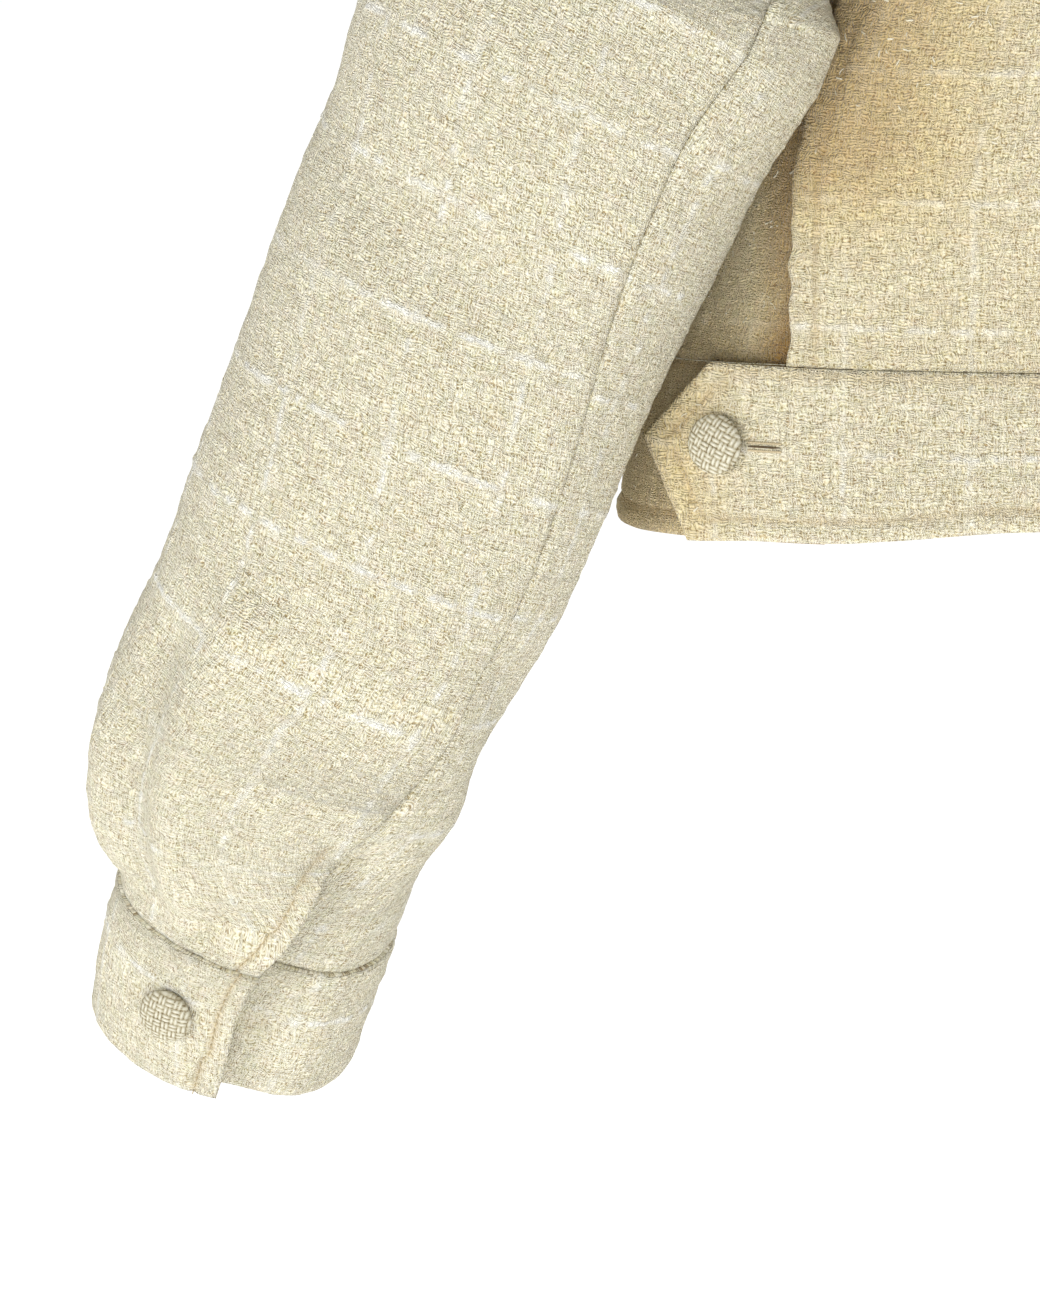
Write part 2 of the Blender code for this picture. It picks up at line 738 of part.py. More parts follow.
def make_upper_sleeve(side):
    sheet = Sheet()
    rows = []
    for way in sleeve_ways():
        z = height_of(way)
        rows.append([on_sleeve(way, turn, flap_out(z, turn)) for turn in upper_turns(z)])
    sheet.add_grid(rows)
    name = "upper_sleeve_left" if side == LEFT else "upper_sleeve_right"
    return thicken(name, sheet, side, PANEL_HALF, PANEL_HALF, CREAM)


def make_under_sleeve(side):
    sheet = Sheet()
    rows = []
    for way in sleeve_ways():
        z = height_of(way)
        rows.append([on_sleeve(way, turn, under_out(z, turn)) for turn in under_turns(z)])
    sheet.add_grid(rows)
    name = "under_sleeve_left" if side == LEFT else "under_sleeve_right"
    return thicken(name, sheet, side, PANEL_HALF, PANEL_HALF, CREAM_SHADE)


def cuff_point(z, turn, below):
    out = under_out(z, turn) if below else flap_out(z, turn)
    return on_sleeve(way_of(z), turn, out)


def make_cuff(side):
    """A band from the flap's edge round the outside to below the flap."""
    top_z = CUFF_SEAM_Z - CUFF_GAP_HALF
    sheet = Sheet()
    rows = []
    for share in (0.0, 0.34, 0.67, 1.0):
        z = top_z + (CUFF_END_Z - top_z) * share
        row = [cuff_point(z, turn, True) for turn in under_turns(z)]
        row += [cuff_point(z, turn, False) for turn in upper_turns(z)]
        rows.append(row)
    sheet.add_grid(rows)
    name = "cuff_left" if side == LEFT else "cuff_right"
    return thicken(name, sheet, side, BAND_OUTER, BAND_INNER, CREAM)


# =============================================================================
# Covered buttons
# =============================================================================
def button_profile():
    """(radius, height) up the outside of a covered button on a short shank."""
    rim = SHANK_HEIGHT + 0.0016
    profile = [(SHANK_RADIUS, 0.0), (SHANK_RADIUS, SHANK_HEIGHT),
               (BUTTON_RADIUS * 0.95, SHANK_HEIGHT), (BUTTON_RADIUS, rim)]
    for step in (1, 2):
        turn = radians(30 * step)
        profile.append((BUTTON_RADIUS * cos(turn), rim + (BUTTON_HEIGHT - rim) * sin(turn)))
    return profile


def make_button(name, place, outward):
    mesh = bmesh.new()
    rings = []
    for radius, height in button_profile():
        rings.append([mesh.verts.new((radius * cos(2 * pi * k / BUTTON_SIDES),
                                      radius * sin(2 * pi * k / BUTTON_SIDES), height))
                      for k in range(BUTTON_SIDES)])
    for low, high in zip(rings, rings[1:]):
        for k in range(BUTTON_SIDES):
            after = (k + 1) % BUTTON_SIDES
            mesh.faces.new((low[k], low[after], high[after], high[k]))
    crown = mesh.verts.new((0, 0, BUTTON_HEIGHT))
    for k in range(BUTTON_SIDES):
        mesh.faces.new((rings[-1][k], rings[-1][(k + 1) % BUTTON_SIDES], crown))
    mesh.faces.new(list(reversed(rings[0])))
    bmesh.ops.recalc_face_normals(mesh, faces=mesh.faces)
    thing = finish(name, mesh, CREAM_BUTTON)
    turn = Vector((0, 0, 1)).rotation_difference(Vector(outward)).to_matrix().to_4x4()
    thing.matrix_world = Matrix.Translation(Vector(place)) @ turn
    return thing


BUTTON_GAP = 0.0004


def button_on(name, spot, side, cloth):
    point, normal = spot
    flip = np.array([side, 1, 1])
    return make_button(name, (point + normal * (cloth + BUTTON_GAP)) * flip, normal * flip)


def make_buttons():
    for number in range(FRONT_BUTTONS):
        z = FRONT_BUTTON_TOP_Z - FRONT_BUTTON_STEP * number
        button_on("button_front_%d" % (number + 1), on_front(180, z, False), RIGHT, PANEL_HALF)
    middle = (WAIST_SEAM_Z + hem_height(0)) / 2
    button_on("button_waistband", on_front(180, middle, False), RIGHT, BAND_OUTER)
    for side, word in ((LEFT, "left"), (RIGHT, "right")):
        button_on("button_tab_" + word, on_band_back(*TAB_BUTTON), side, BAND_OUTER)
        z, turn = CUFF_BUTTON
        button_on("button_cuff_" + word, cuff_point(z, turn, False), side, BAND_OUTER)


def main():
    for thing in list(bpy.data.objects):
        bpy.data.objects.remove(thing, do_unlink=True)
    make_back()
    make_band_back()
    for side in (LEFT, RIGHT):
        make_front(side)
        make_band_front(side)
        make_upper_sleeve(side)
        make_under_sleeve(side)
        make_cuff(side)
    make_buttons()


main()
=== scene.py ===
# %% [markdown]
# # A cropped tweed jacket in Blender
# The jacket is filled out as if worn, with nobody in it. Every cloth piece is a thin shell on one
# of two forms: the body, a stack of rounded sections, and the sleeve, sections along a bent line.
# We load the engineering model first, because each shell takes the place of one of its solids.
#
# All lengths are in metres. +X is the wearer's right, +Y the front and +Z up.

# %% Load the frame
from math import cos, pi, radians, sin

import bpy
import numpy as np
from mathutils import Matrix, Vector
from mathutils.kdtree import KDTree


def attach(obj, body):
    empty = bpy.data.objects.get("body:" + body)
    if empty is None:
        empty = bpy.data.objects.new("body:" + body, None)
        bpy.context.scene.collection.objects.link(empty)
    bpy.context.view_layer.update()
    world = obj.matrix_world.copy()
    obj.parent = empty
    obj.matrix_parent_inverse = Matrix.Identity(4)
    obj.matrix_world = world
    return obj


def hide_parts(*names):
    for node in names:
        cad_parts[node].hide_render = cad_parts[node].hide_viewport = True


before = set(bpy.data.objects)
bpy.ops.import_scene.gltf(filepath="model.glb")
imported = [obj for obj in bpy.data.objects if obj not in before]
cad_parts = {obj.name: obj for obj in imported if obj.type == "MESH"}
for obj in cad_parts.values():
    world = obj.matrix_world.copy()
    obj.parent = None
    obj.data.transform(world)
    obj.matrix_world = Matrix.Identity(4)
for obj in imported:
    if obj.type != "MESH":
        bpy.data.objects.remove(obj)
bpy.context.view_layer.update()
LEFT, RIGHT = -1, 1
FINE = 2          # how finely the shells are divided

# %% [markdown]
# ## Smooth curves through short tables
# A garment's form is written down as a few sections. Between them we need a curve that never
# overshoots its table, or a waist would bulge where nobody put a bulge. This is a cubic through
# the rows with limited slopes, and it works on whole arrays, because a shell has many points.

# %% Curves that never overshoot
def smooth_curve(keys, values):
    order = np.argsort(keys)
    key = np.array(keys, float)[order]
    val = np.array(values, float)[order]
    step = np.diff(key)
    slope = np.diff(val) / step
    tangent = np.zeros(len(key))
    tangent[0], tangent[-1] = slope[0], slope[-1]
    for i in range(1, len(key) - 1):
        if slope[i - 1] * slope[i] > 0:
            left = 2 * step[i] + step[i - 1]
            right = step[i] + 2 * step[i - 1]
            tangent[i] = (left + right) / (left / slope[i - 1] + right / slope[i])

    def value(x):
        x = np.clip(x, key[0], key[-1])
        i = np.clip(np.searchsorted(key, x, side="right") - 1, 0, len(step) - 1)
        t = (x - key[i]) / step[i]
        return ((1 + 2 * t) * (1 - t) ** 2 * val[i] + t * (1 - t) ** 2 * step[i] * tangent[i]
                + t * t * (3 - 2 * t) * val[i + 1] + t * t * (t - 1) * step[i] * tangent[i + 1])

    return value


def table_curves(table):
    rows = list(zip(*table))
    return [smooth_curve(rows[0], column) for column in rows[1:]]


def ease(value, start, end):
    t = np.clip((value - start) / (end - start), 0.0, 1.0)
    return t * t * (3 - 2 * t)


def unit(vectors):
    return vectors / np.maximum(np.linalg.norm(vectors, axis=-1, keepdims=True), 1e-12)


# %% [markdown]
# ## The body form
# Each section is a superellipse: its squareness makes the chest boxier than an oval. The hem, the
# armhole and the free edge of the back's side lap are curves drawn on that form.

# %% Sections and edges of the body
# height, half width, depth behind, depth in front, squareness
BODY_SECTIONS = (
    (+0.008, 0.055, 0.010, 0.010, 2.30),
    (+0.000, 0.078, 0.020, 0.022, 2.30),
    (-0.012, 0.120, 0.036, 0.040, 2.30),
    (-0.024, 0.162, 0.050, 0.053, 2.30),
    (-0.036, 0.196, 0.062, 0.064, 2.30),
    (-0.055, 0.206, 0.078, 0.078, 2.35),
    (-0.090, 0.198, 0.094, 0.096, 2.40),
    (-0.135, 0.185, 0.106, 0.112, 2.45),
    (-0.225, 0.172, 0.116, 0.124, 2.50),
    (-0.300, 0.198, 0.110, 0.114, 2.50),
    (-0.369, 0.223, 0.101, 0.104, 2.50),
    (-0.445, 0.238, 0.099, 0.102, 2.50),
)
WAIST_SEAM_Z = -0.3717
# distance from the middle, height
HEM = (
    (0.000, -0.4215),
    (0.099, -0.4243),
    (0.138, -0.4280),
    (0.160, -0.4297),
    (0.181, -0.4300),
    (0.207, -0.4318),
    (0.240, -0.4290),
)
NECK_HALF_WIDTH = 0.078
NECK_FRONT_Z = -0.085
NECK_BACK_Z = -0.018
# turn round the sleeve (0 tip, 90 behind, 180 below, 270 in front), height, angle round the body
ARMHOLE = (
    (0, -0.037, 90),
    (45, -0.078, 69),
    (90, -0.135, 58),
    (130, -0.190, 55),
    (155, -0.219, 60),
    (180, -0.229, 84),
    (205, -0.220, 107),
    (235, -0.180, 120),
    (270, -0.128, 123),
    (315, -0.075, 113),
    (360, -0.037, 90),
)
TURN_BACK_EDGE = 155
TURN_FRONT_CORNER = 212
# height, distance from the middle
LAP_EDGE = (
    (-0.219, 0.1495),
    (-0.241, 0.155),
    (-0.260, 0.162),
    (-0.293, 0.170),
    (-0.312, 0.1735),
    (-0.372, 0.1735),
    (-0.430, 0.1735),
)
UNDERLAP = 0.018
UNDERLAP_DROP = 0.0030
UPPER_FRONT_DIP = 0.020
LAP_LIFT = 0.003
LAP_SINK_TOP = 0.0038
LAP_SINK_WAIST = 0.0085
FRONT_OVERLAP = 0.020
FRONT_SINK = 0.0040
FRONT_SINK_BAND = 0.0055
TAB_TOP, TAB_POINT, TAB_LOWER = 0.1965, 0.2165, 0.2035
TAB_POINT_DOWN = 0.44
TAB_LIFT = 0.0045
SEAM_HALF = 0.00015

body_half_width, body_behind, body_front, body_power = table_curves(BODY_SECTIONS)
(hem_height,) = table_curves(HEM)
armhole_height, armhole_round = table_curves(ARMHOLE)
(lap_edge,) = table_curves(LAP_EDGE)
print("waist seam", round(float(2 * body_half_width(WAIST_SEAM_Z)), 3), "m across")


# %% Points and normals of the body form
def body_level(point):
    x, y, z = point[..., 0], point[..., 1], point[..., 2]
    depth = np.where(y < 0, body_behind(z), body_front(z))
    power = body_power(z)
    return (np.abs(x) / body_half_width(z)) ** power + (np.abs(y) / depth) ** power


def body_slope(point):
    reach = 2e-5
    slopes = [(body_level(point + s) - body_level(point - s)) / (2 * reach) for s in np.eye(3) * reach]
    return np.stack(slopes, axis=-1)


def body_normal(point):
    return unit(body_slope(point))


def body_behind_at(x, z):
    power = body_power(z)
    share = np.maximum(1 - (np.abs(x) / body_half_width(z)) ** power, 0.0) ** (1 / power)
    return np.stack([x, -body_behind(z) * share, z + 0 * x], axis=-1)


def body_round(angle, z):
    s, c = np.sin(np.radians(angle)), np.cos(np.radians(angle))
    power = 2 / body_power(z)
    along = np.abs(c) ** power
    y = np.where(c > 0, -body_behind(z) * along, body_front(z) * along)
    return np.stack([body_half_width(z) * np.sign(s) * np.abs(s) ** power, y, z + 0 * y], axis=-1)


def angle_behind(x, z):
    share = np.minimum(np.abs(x) / body_half_width(z), 1.0)
    return np.sign(x) * np.degrees(np.arcsin(share ** (body_power(z) / 2)))


def angle_in_front(x, z):
    return 180 - angle_behind(x, z)


# %% [markdown]
# ## The sleeve form
# The sleeve hangs beside the body and its forearm pitches forward, so its sections lie across a
# bent centre line. The cap is a bridge of curves from the armhole to the first full section. Where
# the sleeve would touch the body it is pushed out softly, as cloth lying against a side is.

# %% Sections of the sleeve
# height and place of the centre, half width, half depth, tilt
SLEEVE_SECTIONS = (
    (-0.246, 0.2290, -0.044, 0.0810, 0.060, 20),
    (-0.278, 0.2465, -0.045, 0.0760, 0.058, 21),
    (-0.306, 0.2590, -0.044, 0.0740, 0.056, 20),
    (-0.343, 0.2745, -0.041, 0.0712, 0.055, 15),
    (-0.387, 0.2915, -0.037, 0.0697, 0.054, 8),
    (-0.427, 0.3085, -0.033, 0.0680, 0.052, 2),
    (-0.467, 0.3262, -0.028, 0.0652, 0.050, 0),
    (-0.506, 0.3445, -0.020, 0.0650, 0.049, 0),
    (-0.535, 0.3520, -0.012, 0.0605, 0.047, 0),
    (-0.556, 0.3540, -0.004, 0.0512, 0.043, 0),
    (-0.572, 0.3575, 0.003, 0.0485, 0.041, 0),
    (-0.599, 0.3660, 0.013, 0.0476, 0.040, 0),
    (-0.625, 0.3725, 0.024, 0.0457, 0.039, 0),
)
SLEEVE_TOP_Z = -0.246
CUFF_SEAM_Z = -0.572
CUFF_END_Z = -0.6225
SLEEVE_SQUARENESS = 2.15
SLEEVE_MEAN_RADIUS = 0.055
SLEEVE_OVER_BODY = 0.0031
SLEEVE_CLEAR = 0.0065
SLEEVE_CLEAR_TAB = 0.0120
SEAM_BACK_TURN = 139
SEAM_FRONT_TURN = 238
# a crease runs from one height and turn to another; half width, height of the fold
SLEEVE_FOLDS = (
    (-0.468, 64, -0.545, 62, 0.011, +0.0050),
    (-0.490, 40, -0.545, 45, 0.012, -0.0050),
    (-0.528, 112, -0.556, 75, 0.010, -0.0045),
    (-0.520, 20, -0.548, 12, 0.012, +0.0030),
    (-0.455, 150, -0.500, 200, 0.014, -0.0030),
    (-0.490, 290, -0.540, 275, 0.014, -0.0045),
    (-0.310, 20, -0.340, 95, 0.018, -0.0025),
)
# height, turn of the flap's edge, turn of the edge below it, lift, sink
VENT = (
    (-0.200, SEAM_BACK_TURN, SEAM_BACK_TURN, 0.0000, 0.0000),
    (-0.470, SEAM_BACK_TURN, SEAM_BACK_TURN, 0.0000, 0.0000),
    (-0.498, 131, 131, 0.0000, 0.0000),
    (-0.518, 121, 121, 0.0008, 0.0020),
    (-0.530, 115, 112, 0.0022, 0.0052),
    (-0.543, 109, 98, 0.0042, 0.0062),
    (-0.557, 103, 86, 0.0045, 0.0062),
    (-0.572, 97, 78, 0.0040, 0.0062),
    (-0.625, 94, 72, 0.0030, 0.0062),
)
CAP_TOP_WAY = unit(np.array([0.90, 0.0, -0.30]))
CAP_FOOT_WAY = unit(np.array([0.42, 0.0, -0.90]))
CAP_PULL = (0.125, 0.022)
TUBE_PULL = (0.140, 0.018)

sleeve_x, sleeve_y, sleeve_wide, sleeve_deep, sleeve_tilt = table_curves(SLEEVE_SECTIONS)
flap_turn, under_turn, flap_lift, under_sink = table_curves(VENT)


# %% Points of the sleeve form
def sleeve_frame(z):
    """Centre line at these heights, and its along, out and rear directions."""
    reach = 1e-4
    lower = np.maximum(z - reach, CUFF_END_Z)
    centre = np.stack([sleeve_x(z), sleeve_y(z), z], axis=-1)
    low = np.stack([sleeve_x(lower), sleeve_y(lower), lower], axis=-1)
    high = np.stack([sleeve_x(z + reach), sleeve_y(z + reach), z + reach], axis=-1)
    along = unit(low - high)
    rear = np.array([0.0, -1.0, 0.0])
    rear = unit(rear - along * np.sum(along * rear, axis=-1, keepdims=True))
    out = unit(np.cross(along, rear))
    out = out * np.where(out[..., :1] > 0, 1, -1)
    tilt = np.radians(sleeve_tilt(z))[..., None]
    return (centre, along, out * np.cos(tilt) - rear * np.sin(tilt),
            rear * np.cos(tilt) + out * np.sin(tilt))


def fold_height(z, turn):
    total = np.zeros(np.broadcast(z, turn).shape)
    arc = radians(SLEEVE_MEAN_RADIUS)
    for z0, turn0, z1, turn1, width, height in SLEEVE_FOLDS:
        line = np.array([(turn1 - turn0) * arc, z1 - z0])
        round_way = ((turn - turn0 + 180) % 360 - 180) * arc
        down = z - z0 + 0 * round_way
        share = np.clip((round_way * line[0] + down * line[1]) / line.dot(line), 0, 1)
        off = (round_way - line[0] * share) ** 2 + (down - line[1] * share) ** 2
        total += height * np.exp(-off / width ** 2)
    return total


def tube_point(z, turn):
    centre, _, out, rear = sleeve_frame(z)
    c = np.cos(np.radians(turn))[..., None]
    s = np.sin(np.radians(turn))[..., None]
    power = 2 / SLEEVE_SQUARENESS
    wide = sleeve_wide(z)[..., None] * np.sign(c) * np.abs(c) ** power
    deep = sleeve_deep(z)[..., None] * np.sign(s) * np.abs(s) ** power
    return centre + out * wide + rear * deep + unit(out * c + rear * s) * fold_height(z, turn)[..., None]


def clear_of_body(point, clearance):
    softness = 0.003
    for _ in range(3):
        slope = body_slope(point)
        steep = np.linalg.norm(slope, axis=-1)
        short = clearance - (body_level(point) - 1) / steep
        push = softness * np.log1p(np.exp(np.minimum(short / softness, 40)))
        push = np.where(short < -6 * softness, 0, push)
        point = point + slope / steep[..., None] * push[..., None] * 0.6
    return point


def cap_point(share, turn):
    foot = ((1 - np.cos(np.radians(turn))) / 2)[..., None]
    t = share[..., None]
    ring = body_round(armhole_round(turn % 360), armhole_height(turn % 360))
    ring = ring + body_normal(ring) * SLEEVE_OVER_BODY
    rear = np.zeros(turn.shape + (3,))
    rear[..., 1] = -0.30 * np.sin(np.radians(turn))
    leave = unit(CAP_TOP_WAY * (1 - foot) + CAP_FOOT_WAY * foot + rear)
    leave = leave * (CAP_PULL[0] * (1 - foot) + CAP_PULL[1] * foot)
    top = np.full(turn.shape, SLEEVE_TOP_Z)
    arrive = sleeve_frame(top)[1] * (TUBE_PULL[0] * (1 - foot) + TUBE_PULL[1] * foot)
    return ((1 + 2 * t) * (1 - t) ** 2 * ring + t * (1 - t) ** 2 * leave
            + t * t * (3 - 2 * t) * tube_point(top, turn) + t * t * (t - 1) * arrive)


def sleeve_point(way, turn):
    """way 0 to 1 is the cap; past 1 it is 1 + the depth below the cap's end."""
    way = way + 0 * turn
    share = np.minimum(way, 1)
    cap = cap_point(share, turn)
    clearance = SLEEVE_OVER_BODY + (SLEEVE_CLEAR - SLEEVE_OVER_BODY) * ease(share, 0.0, 0.5)
    cap = cap + (clear_of_body(cap, clearance) - cap) * ease(share, 0.0, 0.15)[..., None]
    z = height_of(way)
    clearance = SLEEVE_CLEAR + (SLEEVE_CLEAR_TAB - SLEEVE_CLEAR) * ease(z, -0.335, -0.372)
    tube = clear_of_body(tube_point(z, turn), clearance)
    return np.where((way <= 1)[..., None], cap, tube)


def way_of(z):
    return 1 + SLEEVE_TOP_Z - z


def height_of(way):
    return SLEEVE_TOP_Z - np.maximum(way - 1, 0)


# %% [markdown]
# ## Patches: a grid of points, normals and cloth coordinates
# A patch is a rectangular grid laid on a form. Besides its points it keeps cloth coordinates, in
# metres across and along the cut, so the weave and the windowpane lines follow the fabric.

# %% Grids and their helpers
STEP = 4            # the lining side of a shell has one vertex for every four of the face


def count(size, spacing=0.0036):
    """Cells along a stretch of cloth, a multiple of STEP."""
    return max(1, round(size * FINE / spacing / STEP)) * STEP


def shares_of(points):
    steps = np.linalg.norm(np.diff(points, axis=0), axis=1)
    return np.append(0, np.cumsum(steps)) / steps.sum()


def resample(points, cells):
    points = np.array(points, float)
    share = shares_of(points)
    wanted = np.linspace(0, 1, cells + 1)
    return np.stack([np.interp(wanted, share, points[:, k]) for k in range(points.shape[1])], axis=1)


def coons(top, bottom, left, right):
    """Fill four edges, each a list of (x, z); the corners coincide."""
    u, v = shares_of(top)[None, :, None], shares_of(right)[:, None, None]
    edges = (1 - v) * top[None] + v * bottom[None] + (1 - u) * left[:, None] + u * right[:, None]
    corners = ((1 - u) * (1 - v) * top[0] + u * (1 - v) * top[-1]
               + (1 - u) * v * bottom[0] + u * v * bottom[-1])
    return edges - corners


def grid_normals(points):
    down, across = np.gradient(points, axis=0), np.gradient(points, axis=1)
    return unit(np.cross(across, down))


def cloth_length(points, axis):
    steps = np.linalg.norm(np.diff(points, axis=axis), axis=-1)
    start = np.zeros_like(np.take(steps, [0], axis=axis))
    return np.concatenate([start, np.cumsum(steps, axis=axis)], axis=axis)


# %% [markdown]
# ## Nubs, slubs and softness
# Boucle is never smooth. Value noise on a fixed random lattice gives soft lumps of a chosen size;
# slub yarns, thick and uneven, are woven in at even distances both ways and make a windowpane
# check in relief. The same numbers raise the mesh and, kept as an attribute, tell the material
# where its thin white yarns show.

# %% Relief of the cloth
PANE_ACROSS, PANE_ALONG = 0.040, 0.042     # spacing of the slub yarns
PANE_SHIFT = (-0.005, 0.022)               # where the first ones lie on the cut
SLUB_WIDTH = 0.0013
SLUB_REACH = 0.0011
SLUB_RISE = 0.00075
NUB_RISE = 0.00050
SAG_RISE = 0.0008
LATTICE = np.random.default_rng(7).random((256, 256))


def lumps(u, v, size, seed=0):
    """Soft noise from 0 to 1 with lumps of about this size."""
    a, b = u / size + seed * 17.3, v / size + seed * 5.7
    i, j = np.floor(a).astype(int), np.floor(b).astype(int)
    s, t = a - i, b - j
    s, t = s * s * (3 - 2 * s), t * t * (3 - 2 * t)

    def at(p, q):
        return LATTICE[p % 256, q % 256]

    return ((at(i, j) * (1 - s) + at(i + 1, j) * s) * (1 - t)
            + (at(i, j + 1) * (1 - s) + at(i + 1, j + 1) * s) * t)


def slub_amount(u, v):
    """How much slub yarn lies here, 0 to 1: lumpy lines both ways."""
    total = np.zeros_like(u)
    u, v = u + PANE_SHIFT[0], v + PANE_SHIFT[1]
    for across, along, pane, seed, share in ((u, v, PANE_ACROSS, 3, 0.6), (v, u, PANE_ALONG, 4, 1.0)):
        wander = 0.0022 * (lumps(along, across * 0, 0.012, seed) - 0.5)
        off = np.abs((across + wander + pane / 2) % pane - pane / 2)
        line = np.round(across / pane) * 0.37
        thick = np.clip(3.2 * lumps(along, line, 0.0034, seed + 2) - 1.1, 0, 1)
        thick = thick * (0.55 + 0.6 * lumps(along, line, 0.030, seed + 4))
        total = np.maximum(total, np.exp(-(off / SLUB_WIDTH) ** 2) * thick * share)
    return total


def relief(u, v, slub):
    nubs = np.clip(lumps(u, v, 0.0036, 1) * 1.5 - 0.55, 0, 1)
    sag = lumps(u, v, 0.034, 2) - 0.5
    return SLUB_RISE * slub + NUB_RISE * nubs + SAG_RISE * sag


# %% [markdown]
# ## A shell from patches
# The face of the cloth is fine, and its lining side four times coarser, since nobody looks at it
# closely. Each coarse rim edge is joined to the four fine ones it faces by a fan of triangles, which
# closes a shell whose patches all wind the same way. Towards its edges the face sinks in a quarter
# round, as turned cloth does.

# %% Build one cloth shell
PANEL_HALF = 0.00125
BAND_OUTER, BAND_INNER = 0.00275, 0.00125
EDGE_ROUND = 0.0018
RIM_LEFT = 0.85             # the share of the thickness that stands at the very edge
EDGE_PUFF = 0.0004
RIM_FUZZ = 0.0004
STITCH_GROOVE = 0.0010
STITCH_REACH = 0.0012


def nearest(points, targets):
    """Distance from every point to the closest target."""
    tree = KDTree(len(targets))
    for i, target in enumerate(targets):
        tree.insert(target, i)
    tree.balance()
    return np.array([tree.find(point)[2] for point in points])


def rim_faces(quads, runs, lining):
    """Fans from each coarse rim edge to the fine edges along it."""
    coarse_edges = set()
    for ring in quads:
        coarse_edges.update(zip(ring, ring[1:] + ring[:1]))
    faces = []
    for a, b in coarse_edges:
        if (b, a) in coarse_edges:
            continue
        run = runs.get((a, b)) or runs[(b, a)][::-1]
        ca, cb = lining[a], lining[b]
        faces += [(run[1], run[0], ca), (run[2], run[1], ca), (run[2], ca, cb)]
        faces += [(run[3], run[2], cb), (run[4], run[3], cb)]
    return faces


def weld(patches):
    """Number the points of all patches, so that points at one place are one vertex."""
    points = np.concatenate([p["points"].reshape(-1, 3) for p in patches])
    _, first, number = np.unique(np.round(points, 6), axis=0, return_index=True, return_inverse=True)
    grids, start = [], 0
    for patch in patches:
        rows, columns = patch["points"].shape[:2]
        grids.append(number[start:start + rows * columns].reshape(rows, columns))
        start += rows * columns
    return grids, first


def grid_quads(grid):
    return np.stack([grid[:-1, :-1], grid[:-1, 1:], grid[1:, 1:], grid[1:, :-1]], axis=-1).reshape(-1, 4)


def make_mesh(name, points, faces):
    mesh = bpy.data.meshes.new(name)
    sizes = np.array([len(face) for face in faces])
    mesh.vertices.add(len(points))
    mesh.vertices.foreach_set("co", np.asarray(points, np.float32).ravel())
    mesh.loops.add(int(sizes.sum()))
    mesh.loops.foreach_set("vertex_index", np.concatenate([np.asarray(f) for f in faces]).astype(np.int32))
    mesh.polygons.add(len(faces))
    mesh.polygons.foreach_set("loop_start", (np.cumsum(sizes) - sizes).astype(np.int32))
    mesh.update(calc_edges=True)
    mesh.validate()
    mesh.shade_smooth()
    return mesh


